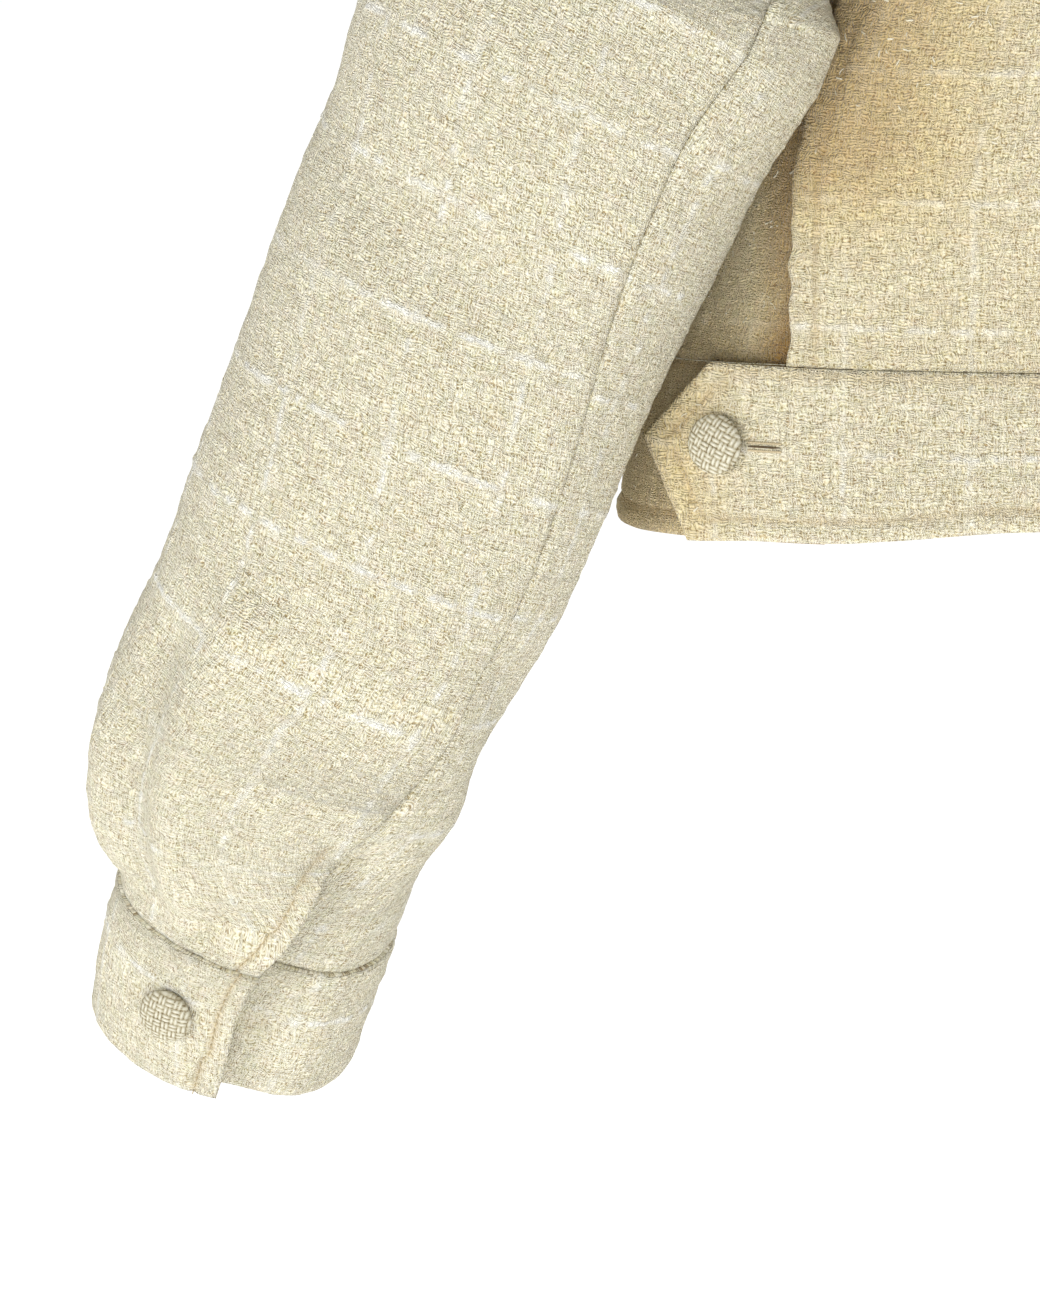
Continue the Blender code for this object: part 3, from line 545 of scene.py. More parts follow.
def cloth_shell(name, patches, side, outer, inner, material, seams=(), deep=None):
    """One closed piece of cloth. seams are lines of stitching, worked at x >= 0; deep gives each point its
    painted shade.
    """
    grids, first = weld(patches)
    flat = {key: np.concatenate([p[key].reshape(-1, p[key].shape[-1]) for p in patches])[first]
            for key in ("points", "normals", "cloth")}
    points, normals, cloth = flat["points"], flat["normals"], flat["cloth"]
    face = np.concatenate([grid_quads(grid) for grid in grids])
    edge_keys = np.sort(np.stack([face, np.roll(face, -1, axis=1)], axis=-1).reshape(-1, 2), axis=1)
    edges, uses = np.unique(edge_keys, axis=0, return_counts=True)
    rim = np.unique(edges[uses == 1])
    from_rim = nearest(points, points[rim])
    u, v = cloth[:, 0], cloth[:, 1]
    slub = slub_amount(u, v)
    groove = np.zeros(len(points))
    if len(seams):
        groove = np.exp(-(nearest(points, np.concatenate(seams)) / STITCH_REACH) ** 2)
    near_rim = np.sqrt(1 - (1 - np.clip(from_rim / EDGE_ROUND, 0, 1)) ** 2)
    puff = EDGE_PUFF * np.exp(-((from_rim - 0.003) / 0.003) ** 2) * lumps(u, v, 0.0042, 8)
    height = (relief(u, v, slub) + puff) * ease(from_rim, 0, 0.003) - STITCH_GROOVE * groove
    outward = np.where(from_rim < 1e-6, RIM_FUZZ * (lumps(u, v, 0.0030, 9) - 0.6), 0)
    top = points + normals * (outer * (RIM_LEFT + (1 - RIM_LEFT) * near_rim) + height + outward)[:, None]
    coarse = [grid[::STEP, ::STEP] for grid in grids]
    runs = {}
    for grid in grids:
        for line in (grid[0], grid[-1], grid[:, 0], grid[:, -1]):
            for k in range(0, len(line) - 1, STEP):
                run = [int(i) for i in line[k:k + STEP + 1]]
                runs[(run[0], run[-1])] = run
    used = np.unique(np.concatenate([c.ravel() for c in coarse]))
    lining = {int(old): len(points) + new for new, old in enumerate(used)}
    below = points[used] - normals[used] * inner
    coarse_quads = [tuple(int(i) for i in ring) for c in coarse for ring in grid_quads(c)]
    faces = [tuple(ring) for ring in face.tolist()]
    faces += [tuple(lining[i] for i in reversed(ring)) for ring in coarse_quads]
    faces += rim_faces(coarse_quads, runs, lining)
    every = np.concatenate([top, below]) * np.array([side, 1, 1])
    ring = face[len(face) // 2]
    turned = np.cross(every[ring[1]] - every[ring[0]], every[ring[2]] - every[ring[0]])
    if turned.dot(normals[ring[0]] * np.array([side, 1, 1])) < 0:
        faces = [tuple(reversed(f)) for f in faces]
    mesh = make_mesh(name, every, faces)
    number = np.empty(len(mesh.loops), np.int32)
    mesh.loops.foreach_get("vertex_index", number)
    on_cloth = np.concatenate([cloth, cloth[used]])
    mesh.uv_layers.new(name="cloth").data.foreach_set("uv", on_cloth[number].astype(np.float32).ravel())
    # deep is painted shade: the tweed darkens and warms each point's colour by it
    if deep is None:
        deep = np.zeros(len(points))
    else:
        deep = deep(points)
    for key, values in (("slub", slub), ("groove", groove), ("deep", deep)):
        layer = mesh.attributes.new(key, "FLOAT", "POINT")
        layer.data.foreach_set("value", np.concatenate([values, values[used] * 0]).astype(np.float32))
    mesh.materials.append(material)
    thing = bpy.data.objects.new(name, mesh)
    bpy.context.scene.collection.objects.link(thing)
    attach(thing, "root")
    triangles = sum(len(f) - 2 for f in faces)
    area = sum(p.area for p in mesh.polygons) / 2
    print(name, triangles, "triangles,", round(area, 4), "square metres of cloth")
    return thing


# %% [markdown]
# ## The tweed
# The weave is a basket: little squares of side-by-side yarns, turned a quarter from one square to
# the next, with dark pits where they meet; the pits' dark colour is painted shade. A shader draws
# it on the cloth coordinates: a checker picks the direction, sines give the yarns, and noise bends
# everything, because the yarns are uneven. Colour drifts from cream to ochre, and the slub yarns are
# whiter. Light that is caught between layers of cream cloth turns warm, so an attribute paints warm
# shade into the colour. It does this under the back's lap, at the tab's point and beside the sleeve,
# where the sleeve's shadow falls, and a little over the whole body. Painted shade also darkens the
# cloth along the rows of stitches.

# %% A small helper for node trees
def node(tree, kind, inputs=(), **settings):
    made = tree.nodes.new(kind)
    for key, value in settings.items():
        setattr(made, key, value)
    for key, value in dict(inputs).items():
        if isinstance(value, bpy.types.NodeSocket):
            tree.links.new(value, made.inputs[key])
        else:
            made.inputs[key].default_value = value
    return made


def maths(tree, operation, first, second=0.0, third=0.0, clamp=False):
    made = node(tree, "ShaderNodeMath", {0: first, 1: second, 2: third}, operation=operation)
    made.use_clamp = clamp
    return made.outputs[0]


def mixed(tree, share, first, second, blend="MIX"):
    made = tree.nodes.new("ShaderNodeMix")
    made.data_type = "RGBA"
    made.blend_type = blend
    for slot, value in ((0, share), (6, first), (7, second)):
        if isinstance(value, bpy.types.NodeSocket):
            tree.links.new(value, made.inputs[slot])
        else:
            made.inputs[slot].default_value = value
    return made.outputs[2]


# %% The tweed material
BASKET = 0.0023             # side of one square of the basket weave
YARNS_IN_SQUARE = 2.5
YARN_WANDER = 0.0042
# painted shade: PIT darkens the pits between the yarns
PIT = (0.33, 0.235, 0.09, 1)
YARN = (0.75, 0.695, 0.475, 1)
YARN_HIGH = (0.87, 0.83, 0.67, 1)
TAN_AND_GROOVE_SHADE = (0.62, 0.50, 0.29, 1)
PAINTED_SHADE_TINTS = (              # painted shade: how deep the cloth lies in shade, and what its colour is multiplied by
    (0.0, (1.0, 1.0, 1.0, 1)),
    (0.5, (0.91, 0.80, 0.59, 1)),
    (1.0, (0.50, 0.31, 0.11, 1)),
)
SLUB_WHITE = (0.91, 0.90, 0.82, 1)
SLUB_GAIN = 1.7             # turns the soft attribute into a firm share


def slub_thread(tree, cloth):
    """1 on the thin white yarns of the windowpane, 0 beside them, on the cloth coordinates."""
    split = node(tree, "ShaderNodeSeparateXYZ", {0: cloth})
    found = 0.0
    for place, shift, pane in ((split.outputs[0], PANE_SHIFT[0], PANE_ACROSS),
                               (split.outputs[1], PANE_SHIFT[1], PANE_ALONG)):
        off = maths(tree, "PINGPONG", maths(tree, "ADD", place, shift), pane / 2)
        here = maths(tree, "MULTIPLY_ADD", off, -1 / SLUB_REACH, 1.6, clamp=True)
        found = maths(tree, "MAXIMUM", here, found)
    return found


def tweed(name):
    material = bpy.data.materials.new(name)
    material.use_nodes = True
    tree = material.node_tree
    shader = tree.nodes["Principled BSDF"]
    cloth = node(tree, "ShaderNodeUVMap", uv_map="cloth").outputs[0]
    bend = node(tree, "ShaderNodeTexNoise", {"Vector": cloth, "Scale": 1 / 0.0058, "Detail": 2.5})
    away = node(tree, "ShaderNodeVectorMath", {0: bend.outputs["Color"], 1: (0.5, 0.5, 0.5)},
                operation="SUBTRACT").outputs[0]
    away = node(tree, "ShaderNodeVectorMath", {0: away, "Scale": YARN_WANDER},
                operation="SCALE").outputs[0]
    bent = node(tree, "ShaderNodeVectorMath", {0: cloth, 1: away}, operation="ADD").outputs[0]
    square = node(tree, "ShaderNodeVectorMath", {0: bent, "Scale": 1 / BASKET}, operation="SCALE").outputs[0]
    which = node(tree, "ShaderNodeTexChecker", {"Vector": square, "Scale": 1.0}).outputs["Fac"]
    split = node(tree, "ShaderNodeSeparateXYZ", {0: square})
    across, along = split.outputs[0], split.outputs[1]
    ridges = []
    for over, down in ((across, along), (along, across)):
        ridge = maths(tree, "SINE", maths(tree, "MULTIPLY", over, 2 * pi * YARNS_IN_SQUARE))
        arch = maths(tree, "ABSOLUTE", maths(tree, "SINE", maths(tree, "MULTIPLY", down, pi)))
        ridge = maths(tree, "MULTIPLY_ADD", ridge, 0.30, 0.42)
        ridges.append(maths(tree, "MULTIPLY_ADD", arch, 0.42, ridge))
    weave = node(tree, "ShaderNodeMix", {0: which, 2: ridges[0], 3: ridges[1]}).outputs[0]
    fibres = node(tree, "ShaderNodeTexNoise", {"Vector": cloth, "Scale": 1 / 0.0009, "Detail": 3.0,
                                              "Roughness": 0.65}).outputs["Fac"]
    curls = node(tree, "ShaderNodeTexNoise", {"Vector": cloth, "Scale": 1 / 0.0021, "Detail": 2.0,
                                             "Distortion": 1.6}).outputs["Fac"]
    rough_weave = maths(tree, "MULTIPLY_ADD", fibres, 0.9, maths(tree, "SUBTRACT", weave, 0.45))
    rough_weave = maths(tree, "MULTIPLY_ADD", curls, 1.5, maths(tree, "SUBTRACT", rough_weave, 0.75))
    slub = node(tree, "ShaderNodeAttribute", attribute_name="slub").outputs["Fac"]
    groove = node(tree, "ShaderNodeAttribute", attribute_name="groove").outputs["Fac"]
    lifted = maths(tree, "MULTIPLY_ADD", slub, 0.35, rough_weave)
    ramp = node(tree, "ShaderNodeValToRGB", {0: lifted})
    ramp.color_ramp.elements[0].position, ramp.color_ramp.elements[0].color = 0.12, PIT
    ramp.color_ramp.elements[1].position, ramp.color_ramp.elements[1].color = 1.0, YARN_HIGH
    middle = ramp.color_ramp.elements.new(0.48)
    middle.color = YARN
    patchy = node(tree, "ShaderNodeTexNoise",
                  {"Vector": cloth, "Scale": 1 / 0.011, "Detail": 3.0}).outputs["Fac"]
    tan_share = maths(tree, "MULTIPLY_ADD", patchy, 2.4, -1.15, clamp=True)
    colour = mixed(tree, maths(tree, "MULTIPLY", tan_share, 0.30), ramp.outputs[0], TAN_AND_GROOVE_SHADE)
    tinge = node(tree, "ShaderNodeTexNoise",
                 {"Vector": cloth, "Scale": 1 / 0.0035, "Detail": 1.0}).outputs["Color"]
    colour = mixed(tree, 0.16, colour, tinge, "SOFT_LIGHT")
    fibre_share = maths(tree, "MULTIPLY_ADD", curls, 2.6, -0.55, clamp=True)
    near_slub = maths(tree, "MULTIPLY", slub, SLUB_GAIN, clamp=True)
    white_share = maths(tree, "MULTIPLY", slub_thread(tree, bent), near_slub)
    white_share = maths(tree, "MULTIPLY", white_share, fibre_share, clamp=True)
    colour = mixed(tree, white_share, colour, SLUB_WHITE)
    # Painted shade: the colour darkens towards tan along the dents of the rows of stitches.
    colour = mixed(tree, maths(tree, "MULTIPLY", groove, 0.65), colour, TAN_AND_GROOVE_SHADE)
    # Painted shade: the deep attribute darkens and warms the colour in the recesses and in the sleeve's
    # shadow.
    deep = node(tree, "ShaderNodeAttribute", attribute_name="deep").outputs["Fac"]
    painted_shade_tint = node(tree, "ShaderNodeValToRGB", {0: deep})
    painted_shade_tint.color_ramp.elements.new(0.5)
    for stop, (place, value) in zip(painted_shade_tint.color_ramp.elements, PAINTED_SHADE_TINTS):
        stop.position, stop.color = place, value
    colour = mixed(tree, 1.0, colour, painted_shade_tint.outputs[0], "MULTIPLY")
    tree.links.new(colour, shader.inputs["Base Color"])
    bump = node(tree, "ShaderNodeBump", {"Height": lifted, "Strength": 1.0, "Distance": 0.0008})
    tree.links.new(bump.outputs[0], shader.inputs["Normal"])
    shader.inputs["Roughness"].default_value = 0.93
    shader.inputs["Specular IOR Level"].default_value = 0.15
    shader.inputs["Sheen Weight"].default_value = 0.42
    shader.inputs["Sheen Roughness"].default_value = 0.55
    shader.inputs["Sheen Tint"].default_value = (1.0, 0.97, 0.90, 1)
    return material


TWEED = tweed("boucle_tweed")
print("tweed nodes:", len(TWEED.node_tree.nodes))


# %% [markdown]
# ## The back
# The back is cut on the fold. Its edges are the neck, the shoulder, the armhole, the free edge
# that laps over the front at the side, and the waist seam. Four edges fill a patch; the other half
# is its mirror image, and the two are welded down the middle.

# %% Outlines shared by back and fronts
def ridge_height(x):
    low = np.full(np.shape(x), float(armhole_height(0)))
    high = np.zeros(np.shape(x))
    for _ in range(40):
        middle = (low + high) / 2
        wide = body_half_width(middle) > x
        low, high = np.where(wide, middle, low), np.where(wide, high, middle)
    return high


def neck_and_shoulder(start_x, neck_z, cells):
    turn = np.linspace(0, pi / 2, 30)[:-1]
    neck = np.stack([start_x + (NECK_HALF_WIDTH - start_x) * np.sin(turn), neck_z * np.cos(turn)], axis=1)
    tip_z = float(armhole_height(0))
    tip_x = float(body_half_width(tip_z))
    x = np.linspace(NECK_HALF_WIDTH, tip_x, 30)[:-1]
    shoulder = np.stack([x, ridge_height(x)], axis=1)
    return resample(np.concatenate([neck, shoulder, [(tip_x, tip_z)]]), cells)


def armhole_xz(turn):
    point = body_round(armhole_round(turn % 360), armhole_height(turn % 360))
    return point[..., [0, 2]]


def back_out(x, z):
    near_edge = ease(np.abs(x), lap_edge(z) - 0.055, lap_edge(z))
    return LAP_LIFT * near_edge * ease(z, -0.27, WAIST_SEAM_Z)


def on_back(x, z):
    point = body_behind_at(x, z)
    normal = body_normal(point)
    point = point + normal * back_out(x, z)[..., None]
    point[..., 1] = np.minimum(point[..., 1], -SEAM_HALF)
    return point, normal


def mirrored(patch):
    flip = np.array([-1, 1, 1])
    return {"points": (patch["points"] * flip)[:, ::-1], "normals": (patch["normals"] * flip)[:, ::-1],
            "cloth": (patch["cloth"] * np.array([-1, 1]))[:, ::-1]}


# %% The back's patch
LAP_STITCH_IN = 0.0090      # the topstitching's distance from a free edge
LAP_SCALLOP = 0.0022        # the free edge is uneven by this much, as thick cloth turned under is
BACK_HALF_WIDTH, BACK_SIDE_LENGTH = 0.215, 0.40
half_cells = count(BACK_HALF_WIDTH)
top = neck_and_shoulder(0.0, NECK_BACK_Z, half_cells)
armhole_line = armhole_xz(np.linspace(0.0, TURN_BACK_EDGE, 120))
lap_top_z = armhole_line[-1, 1]
lap_z = np.linspace(lap_top_z, WAIST_SEAM_Z + SEAM_HALF, 40)[1:]
side_line = np.concatenate([armhole_line, np.stack([lap_edge(lap_z), lap_z], axis=1)])
right = resample(side_line, count(BACK_SIDE_LENGTH))
waist = float(lap_edge(WAIST_SEAM_Z))
bottom = np.stack([waist * shares_of(top), np.full(len(top), lap_z[-1])], axis=1)
left = np.stack([np.zeros(len(right)), NECK_BACK_Z + (lap_z[-1] - NECK_BACK_Z) * shares_of(right)], axis=1)
xz = coons(top, bottom, left, right)
scallop = lumps(xz[..., 1], 0 * xz[..., 1], 0.0062, 12) * ease(shares_of(top), 0.93, 1.0)[None]
xz[..., 0] -= LAP_SCALLOP * scallop * ease(xz[..., 1], -0.235, -0.250) * ease(xz[..., 1], -0.3717, -0.3600)
points, normals = on_back(xz[..., 0], xz[..., 1])
points[:, 0, 0] = 0.0
across = np.broadcast_to(waist * shares_of(top)[None, :], xz.shape[:2])
half_back = {"points": points, "normals": normals, "cloth": np.stack([across, xz[..., 1]], axis=-1)}

stitch_z = np.linspace(lap_top_z - 0.006, lap_z[-1] + 0.001, 60)
lap_stitch = on_back(lap_edge(stitch_z) - LAP_STITCH_IN, stitch_z)
both_sides = [lap_stitch[0], lap_stitch[0] * np.array([-1, 1, 1])]


BODY_PAINTED_SHADE = 0.20             # painted shade: the whole back is darkened a little more than the sleeves


def painted_shade_beside_sleeve(points):
    """Painted shade on the strip of the back that the sleeve hangs against and shades, as dark as the rest
    of the recess.
    """
    x, _, z = points.T
    inward = lap_edge(z) - np.abs(x)
    strip = ease(inward, 0.080, 0.012) * ease(z, -0.345, -0.300) * ease(z, -0.10, -0.19)
    return BODY_PAINTED_SHADE + 0.54 * strip


back = cloth_shell("back_cloth", [half_back, mirrored(half_back)], RIGHT, PANEL_HALF, PANEL_HALF, TWEED,
                   both_sides, painted_shade_beside_sleeve)


# %% [markdown]
# ## The fronts
# Each front has an upper patch, from neck and shoulder down to the armhole's lowest corner, and a
# lower one that runs on round the side and under the back's lap. The left front lies a little
# deeper near the middle, because the right one closes over it.
#
# One flaw is left here. The upper patch's columns run outwards from the middle and the lower one's
# run inwards from the side, so the two wind in opposite ways. The upper patch's faces point inwards,
# a wall of rim faces stays inside the join, and a thin line shows there.

# %% The fronts' patches
FRONT_TOP_LENGTH = 0.235    # neck and shoulder
FRONT_ARMHOLE, ARMHOLE_FOOT = 0.21, 0.12
FRONT_LOWER_DEPTH = 0.155
BODY_MEAN_RADIUS = 0.150


def front_out(angle, z, under):
    lap = LAP_SINK_TOP + (LAP_SINK_WAIST - LAP_SINK_TOP) * ease(z, -0.27, WAIST_SEAM_Z + 0.02)
    out = -lap * ease(z, -0.165, -0.212) * ease(angle, 138, 98)
    if under:
        sink = FRONT_SINK + (FRONT_SINK_BAND - FRONT_SINK) * ease(z, -0.32, WAIST_SEAM_Z)
        out = out - sink * ease(body_half_width(z) * np.sin(np.radians(angle)), 0.070, 0.030)
    return out


def on_front(angle, z, under):
    point = body_round(angle, z)
    normal = body_normal(point)
    point = point + normal * front_out(angle, z, under)[..., None]
    high = (angle > 90) & (z > armhole_height(90))
    point[..., 1] = np.where(high, np.maximum(point[..., 1], SEAM_HALF), point[..., 1])
    return point, normal


def front_patches(under):
    cells = count(FRONT_TOP_LENGTH)
    turns = np.linspace(360.0 - 1e-9, TURN_FRONT_CORNER, 160)
    right = resample(armhole_xz(turns), count(FRONT_ARMHOLE))
    top = neck_and_shoulder(-FRONT_OVERLAP, NECK_FRONT_Z, cells)
    corner = right[-1]
    middle = np.array([-FRONT_OVERLAP, corner[1] - UPPER_FRONT_DIP])
    bottom = middle + (corner - middle) * shares_of(top)[:, None]
    start = np.array([-FRONT_OVERLAP, NECK_FRONT_Z])
    left = start + (middle - start) * shares_of(right)[:, None]
    xz = coons(top, bottom, left, right)
    angle = angle_in_front(xz[..., 0], xz[..., 1])
    upper = on_front(angle, xz[..., 1], under)

    z = float(armhole_height(TURN_BACK_EDGE)) - UNDERLAP_DROP
    edge = angle_behind(lap_edge(z) - UNDERLAP, z)
    lap = angle_behind(lap_edge(z), z)
    lap_cells, arm_cells = count(UNDERLAP), count(ARMHOLE_FOOT)
    share = np.linspace(0, 1, arm_cells + 1)
    turn = TURN_BACK_EDGE + (TURN_FRONT_CORNER - TURN_BACK_EDGE) * share
    arm_z = armhole_height(turn) - UNDERLAP_DROP * np.clip(1 - 4 * share, 0, 1)
    columns = np.concatenate([
        np.stack([np.linspace(edge, lap, lap_cells + 1)[:-1], np.full(lap_cells, z)], axis=1),
        np.stack([armhole_round(turn), arm_z], axis=1)[:-1],
        np.stack([angle[-1][::-1], xz[-1, ::-1, 1]], axis=1)])
    first = angle_behind(lap_edge(WAIST_SEAM_Z) - UNDERLAP, WAIST_SEAM_Z)
    last = angle_in_front(-FRONT_OVERLAP, WAIST_SEAM_Z)
    low = first + (last - first) * (columns[:, 0] - columns[0, 0]) / (columns[-1, 0] - columns[0, 0])
    down = np.linspace(0, 1, count(FRONT_LOWER_DEPTH) + 1)[:, None]
    low_angle = columns[None, :, 0] + (low - columns[:, 0])[None] * down
    low_z = columns[None, :, 1] + (WAIST_SEAM_Z + SEAM_HALF - columns[:, 1])[None] * down
    lower = on_front(low_angle, low_z, under)

    def cloth_of(angle, z):
        return np.stack([np.radians(180 - angle) * BODY_MEAN_RADIUS, z], axis=-1)

    return [{"points": upper[0], "normals": upper[1], "cloth": cloth_of(angle, xz[..., 1])},
            {"points": lower[0], "normals": lower[1], "cloth": cloth_of(low_angle, low_z)}]


def front_edge_stitch(under):
    z = np.linspace(NECK_FRONT_Z - 0.006, WAIST_SEAM_Z + 0.002, 80)
    angle = angle_in_front(np.full(80, -FRONT_OVERLAP + LAP_STITCH_IN), z)
    return on_front(angle, z, under)


def painted_shade_below_lap(points):
    """Painted shade: how deep the front lies, most in the corner of the back's edge and its tab, 0 at the
    front.
    """
    x, y, z = points.T
    near_edge = ease(np.abs(x) - lap_edge(z), 0.013, 0.0) * ease(z, -0.20, -0.30)
    near_band = ease(z, -0.350, -0.372)
    whole = 0.42 * ease(z, -0.16, -0.24)
    return np.clip(whole + 0.45 * near_edge + 0.20 * near_band, 0, 1) * ease(y, 0.03, -0.01)


for side, word in ((LEFT, "left"), (RIGHT, "right")):
    under = side == LEFT
    cloth_shell("front_%s_cloth" % word, front_patches(under), side, PANEL_HALF, PANEL_HALF,
                               TWEED, [front_edge_stitch(under)[0]], painted_shade_below_lap)


# %% [markdown]
# ## The waistband
# The band is folded double, so it is thicker. The back's strip ends both ways in a pointed tab
# that reaches over the side of the front's strip and lifts a little off it.

# %% The waistband's patches
BAND_TOP_Z = WAIST_SEAM_Z - SEAM_HALF
BAND_DEPTH = 0.056
BAND_FRONT_LENGTH = 0.36
TAB_REACH = 0.040
HEM_STITCH_UP = 0.0075
TOP_STITCH_DOWN = 0.0024
TAB_STITCH_IN = 0.0080


def tab_end(down):
    upper = TAB_TOP + (TAB_POINT - TAB_TOP) * down / TAB_POINT_DOWN
    lower = TAB_POINT + (TAB_LOWER - TAB_POINT) * (down - TAB_POINT_DOWN) / (1 - TAB_POINT_DOWN)
    return np.where(down < TAB_POINT_DOWN, upper, lower)


def on_band_back(x, z):
    point = body_behind_at(x, z)
    normal = body_normal(point)
    out = back_out(np.minimum(x, lap_edge(z)), np.maximum(z, WAIST_SEAM_Z))
    out = out + (TAB_LIFT - LAP_LIFT) * ease(x, lap_edge(z) - 0.01, TAB_POINT)
    return point + normal * out[..., None], normal


def band_z(x, down):
    return BAND_TOP_Z + (hem_height(x) - BAND_TOP_Z) * down


def back_band_patch():
    down = np.linspace(0, 1, count(BAND_DEPTH) + 1)[:, None]
    middle = np.linspace(0, waist, count(waist) + 1)[None, :] + 0 * down
    share = np.linspace(0, 1, count(TAB_REACH) + 1)[None, 1:]
    x = np.concatenate([middle, waist + (tab_end(down) - waist) * share], axis=1)
    z = band_z(x, down)
    points, normals = on_band_back(x, z)
    points[:, 0, 0] = 0.0
    return {"points": points, "normals": normals, "cloth": np.stack([x, z], axis=-1)}


def band_back_stitches():
    """Hem line, tab outline and the line just below the waist seam, at x >= 0."""
    x = np.linspace(0, TAB_LOWER - TAB_STITCH_IN, 160)
    hem_line = (x, hem_height(x) + HEM_STITCH_UP)
    down = np.linspace(1 - HEM_STITCH_UP / BAND_DEPTH, 0.14, 40)
    tab_line = (tab_end(down) - TAB_STITCH_IN, band_z(tab_end(down) - TAB_STITCH_IN, down))
    x = np.linspace(0, TAB_TOP - TAB_STITCH_IN, 160)
    top_line = (x, np.full(160, BAND_TOP_Z - TOP_STITCH_DOWN))
    down = np.linspace(0.14, TOP_STITCH_DOWN / BAND_DEPTH, 8)
    corner = (np.full(8, TAB_TOP - TAB_STITCH_IN + 0.003), band_z(np.full(8, TAB_TOP), down))
    return [on_band_back(*line) for line in (hem_line, tab_line, top_line, corner)]


def front_band_patch(under):
    first = angle_behind(lap_edge(WAIST_SEAM_Z) - UNDERLAP, WAIST_SEAM_Z)
    last = angle_in_front(-FRONT_OVERLAP, WAIST_SEAM_Z)
    angle = np.linspace(first, last, count(BAND_FRONT_LENGTH) + 1)[None, :]
    down = np.linspace(0, 1, count(BAND_DEPTH) + 1)[:, None]
    x = np.abs(body_round(angle, np.full(angle.shape, WAIST_SEAM_Z))[..., 0])
    hem = hem_height(np.where(angle > 90, x, np.maximum(x, TAB_POINT)))
    z = BAND_TOP_Z + (hem - BAND_TOP_Z) * down
    angle = angle + 0 * z
    points, normals = on_front(angle, z, under)
    return {"points": points, "normals": normals,
            "cloth": np.stack([np.radians(180 - angle) * BODY_MEAN_RADIUS, z], axis=-1)}


def band_front_stitches(patch):
    points, normals = patch["points"], patch["normals"]
    rows = len(points) - 1
    low = rows - max(1, round(HEM_STITCH_UP / BAND_DEPTH * rows))
    high = max(1, round(TOP_STITCH_DOWN / BAND_DEPTH * rows))
    return [(points[row], normals[row]) for row in (low, high)]


band_stitches = band_back_stitches()
half_band = back_band_patch()
lines = [line[0] for line in band_stitches]
lines += [line * np.array([-1, 1, 1]) for line in lines]


def painted_shade_tab_tip(points):
    """Painted shade: the tab's point hangs in the sleeve's shadow and is darkened as much as the recess."""
    return BODY_PAINTED_SHADE / 2 + 0.40 * ease(np.abs(points[:, 0]), 0.180, 0.212)


back_band = cloth_shell("waistband_back_cloth", [half_band, mirrored(half_band)], RIGHT,
                        BAND_OUTER, BAND_INNER, TWEED, lines, painted_shade_tab_tip)
front_bands, front_band_lines = {}, {}
for side, word in ((LEFT, "left"), (RIGHT, "right")):
    patch = front_band_patch(side == LEFT)
    front_band_lines[word] = band_front_stitches(patch)
    front_bands[word] = cloth_shell("waistband_front_%s_cloth" % word, [patch], side, BAND_OUTER, BAND_INNER,
                                    TWEED, [line[0] for line in front_band_lines[word]], painted_shade_below_lap)


# %% [markdown]
# ## The two-piece sleeves and their cuffs
# The upper sleeve is the wide outer half. Its hind seam opens near the wrist into a vent, whose
# flap lies over the under sleeve. The cuff is one strip that starts below the flap, goes round the
# wrist and ends as the flap's own edge.

# %% The sleeves' patches
SEAM_TURN_GAP = 0.20
CUFF_GAP_HALF = 0.00022
CAP_LENGTH, TUBE_LENGTH = 0.190, 0.345
UPPER_WIDTH, UNDER_WIDTH = 0.30, 0.115
CUFF_DEPTH, CUFF_BELOW, CUFF_ABOVE = 0.050, 0.13, 0.19


def flap_out(z, turn):
    return flap_lift(z) * ease(turn, flap_turn(z) - 50, flap_turn(z))


def under_out(z, turn):
    return -under_sink(z) * ease(turn, flap_turn(z) + 38, flap_turn(z) + 2)


def sleeve_ways():
    cap = np.linspace(0, 1, count(CAP_LENGTH) + 1)
    bottom = way_of(CUFF_SEAM_Z + CUFF_GAP_HALF)
    return np.concatenate([cap, np.linspace(1, bottom, count(TUBE_LENGTH) + 1)[1:]])


def tube_patch(way, turn, out):
    """Rows of the sleeve form, moved out along its normals."""
    middle = turn.shape[1] // 2
    points = sleeve_point(way, turn)
    normals = grid_normals(points)
    points = points + normals * out[..., None]
    normals = grid_normals(points)
    across = cloth_length(points, 1)
    across = across - across[:, middle:middle + 1]
    down = cloth_length(points, 0)[:, middle:middle + 1] + 0 * across
    return {"points": points, "normals": normals, "cloth": np.stack([across, -down], axis=-1)}


def sleeve_patches():
    way = sleeve_ways()[:, None]
    z = height_of(way)
    share = np.linspace(0, 1, count(UPPER_WIDTH) + 1)[None, :]
    start = SEAM_FRONT_TURN - 360 + SEAM_TURN_GAP
    turn = start + (flap_turn(z) - SEAM_TURN_GAP - start) * share
    upper = tube_patch(way, turn, flap_out(z, turn))
    share = np.linspace(0, 1, count(UNDER_WIDTH) + 1)[None, :]
    start = under_turn(z) + SEAM_TURN_GAP
    turn = start + (SEAM_FRONT_TURN - SEAM_TURN_GAP - start) * share
    return upper, tube_patch(way, turn, under_out(z, turn))


def cuff_patch():
    top_z = CUFF_SEAM_Z - CUFF_GAP_HALF
    z = np.linspace(top_z, CUFF_END_Z, count(CUFF_DEPTH) + 1)[:, None]
    share = np.linspace(0, 1, count(CUFF_BELOW) + 1)[None, :]
    start = under_turn(z) + SEAM_TURN_GAP
    below = start + (SEAM_FRONT_TURN - start) * share
    share = np.linspace(0, 1, count(CUFF_ABOVE) + 1)[None, 1:]
    above = SEAM_FRONT_TURN - 360 + (flap_turn(z) - SEAM_TURN_GAP - (SEAM_FRONT_TURN - 360)) * share
    out = np.concatenate([under_out(z, below), flap_out(z, above)], axis=1)
    return tube_patch(way_of(z), np.concatenate([below, above + 360], axis=1), out)


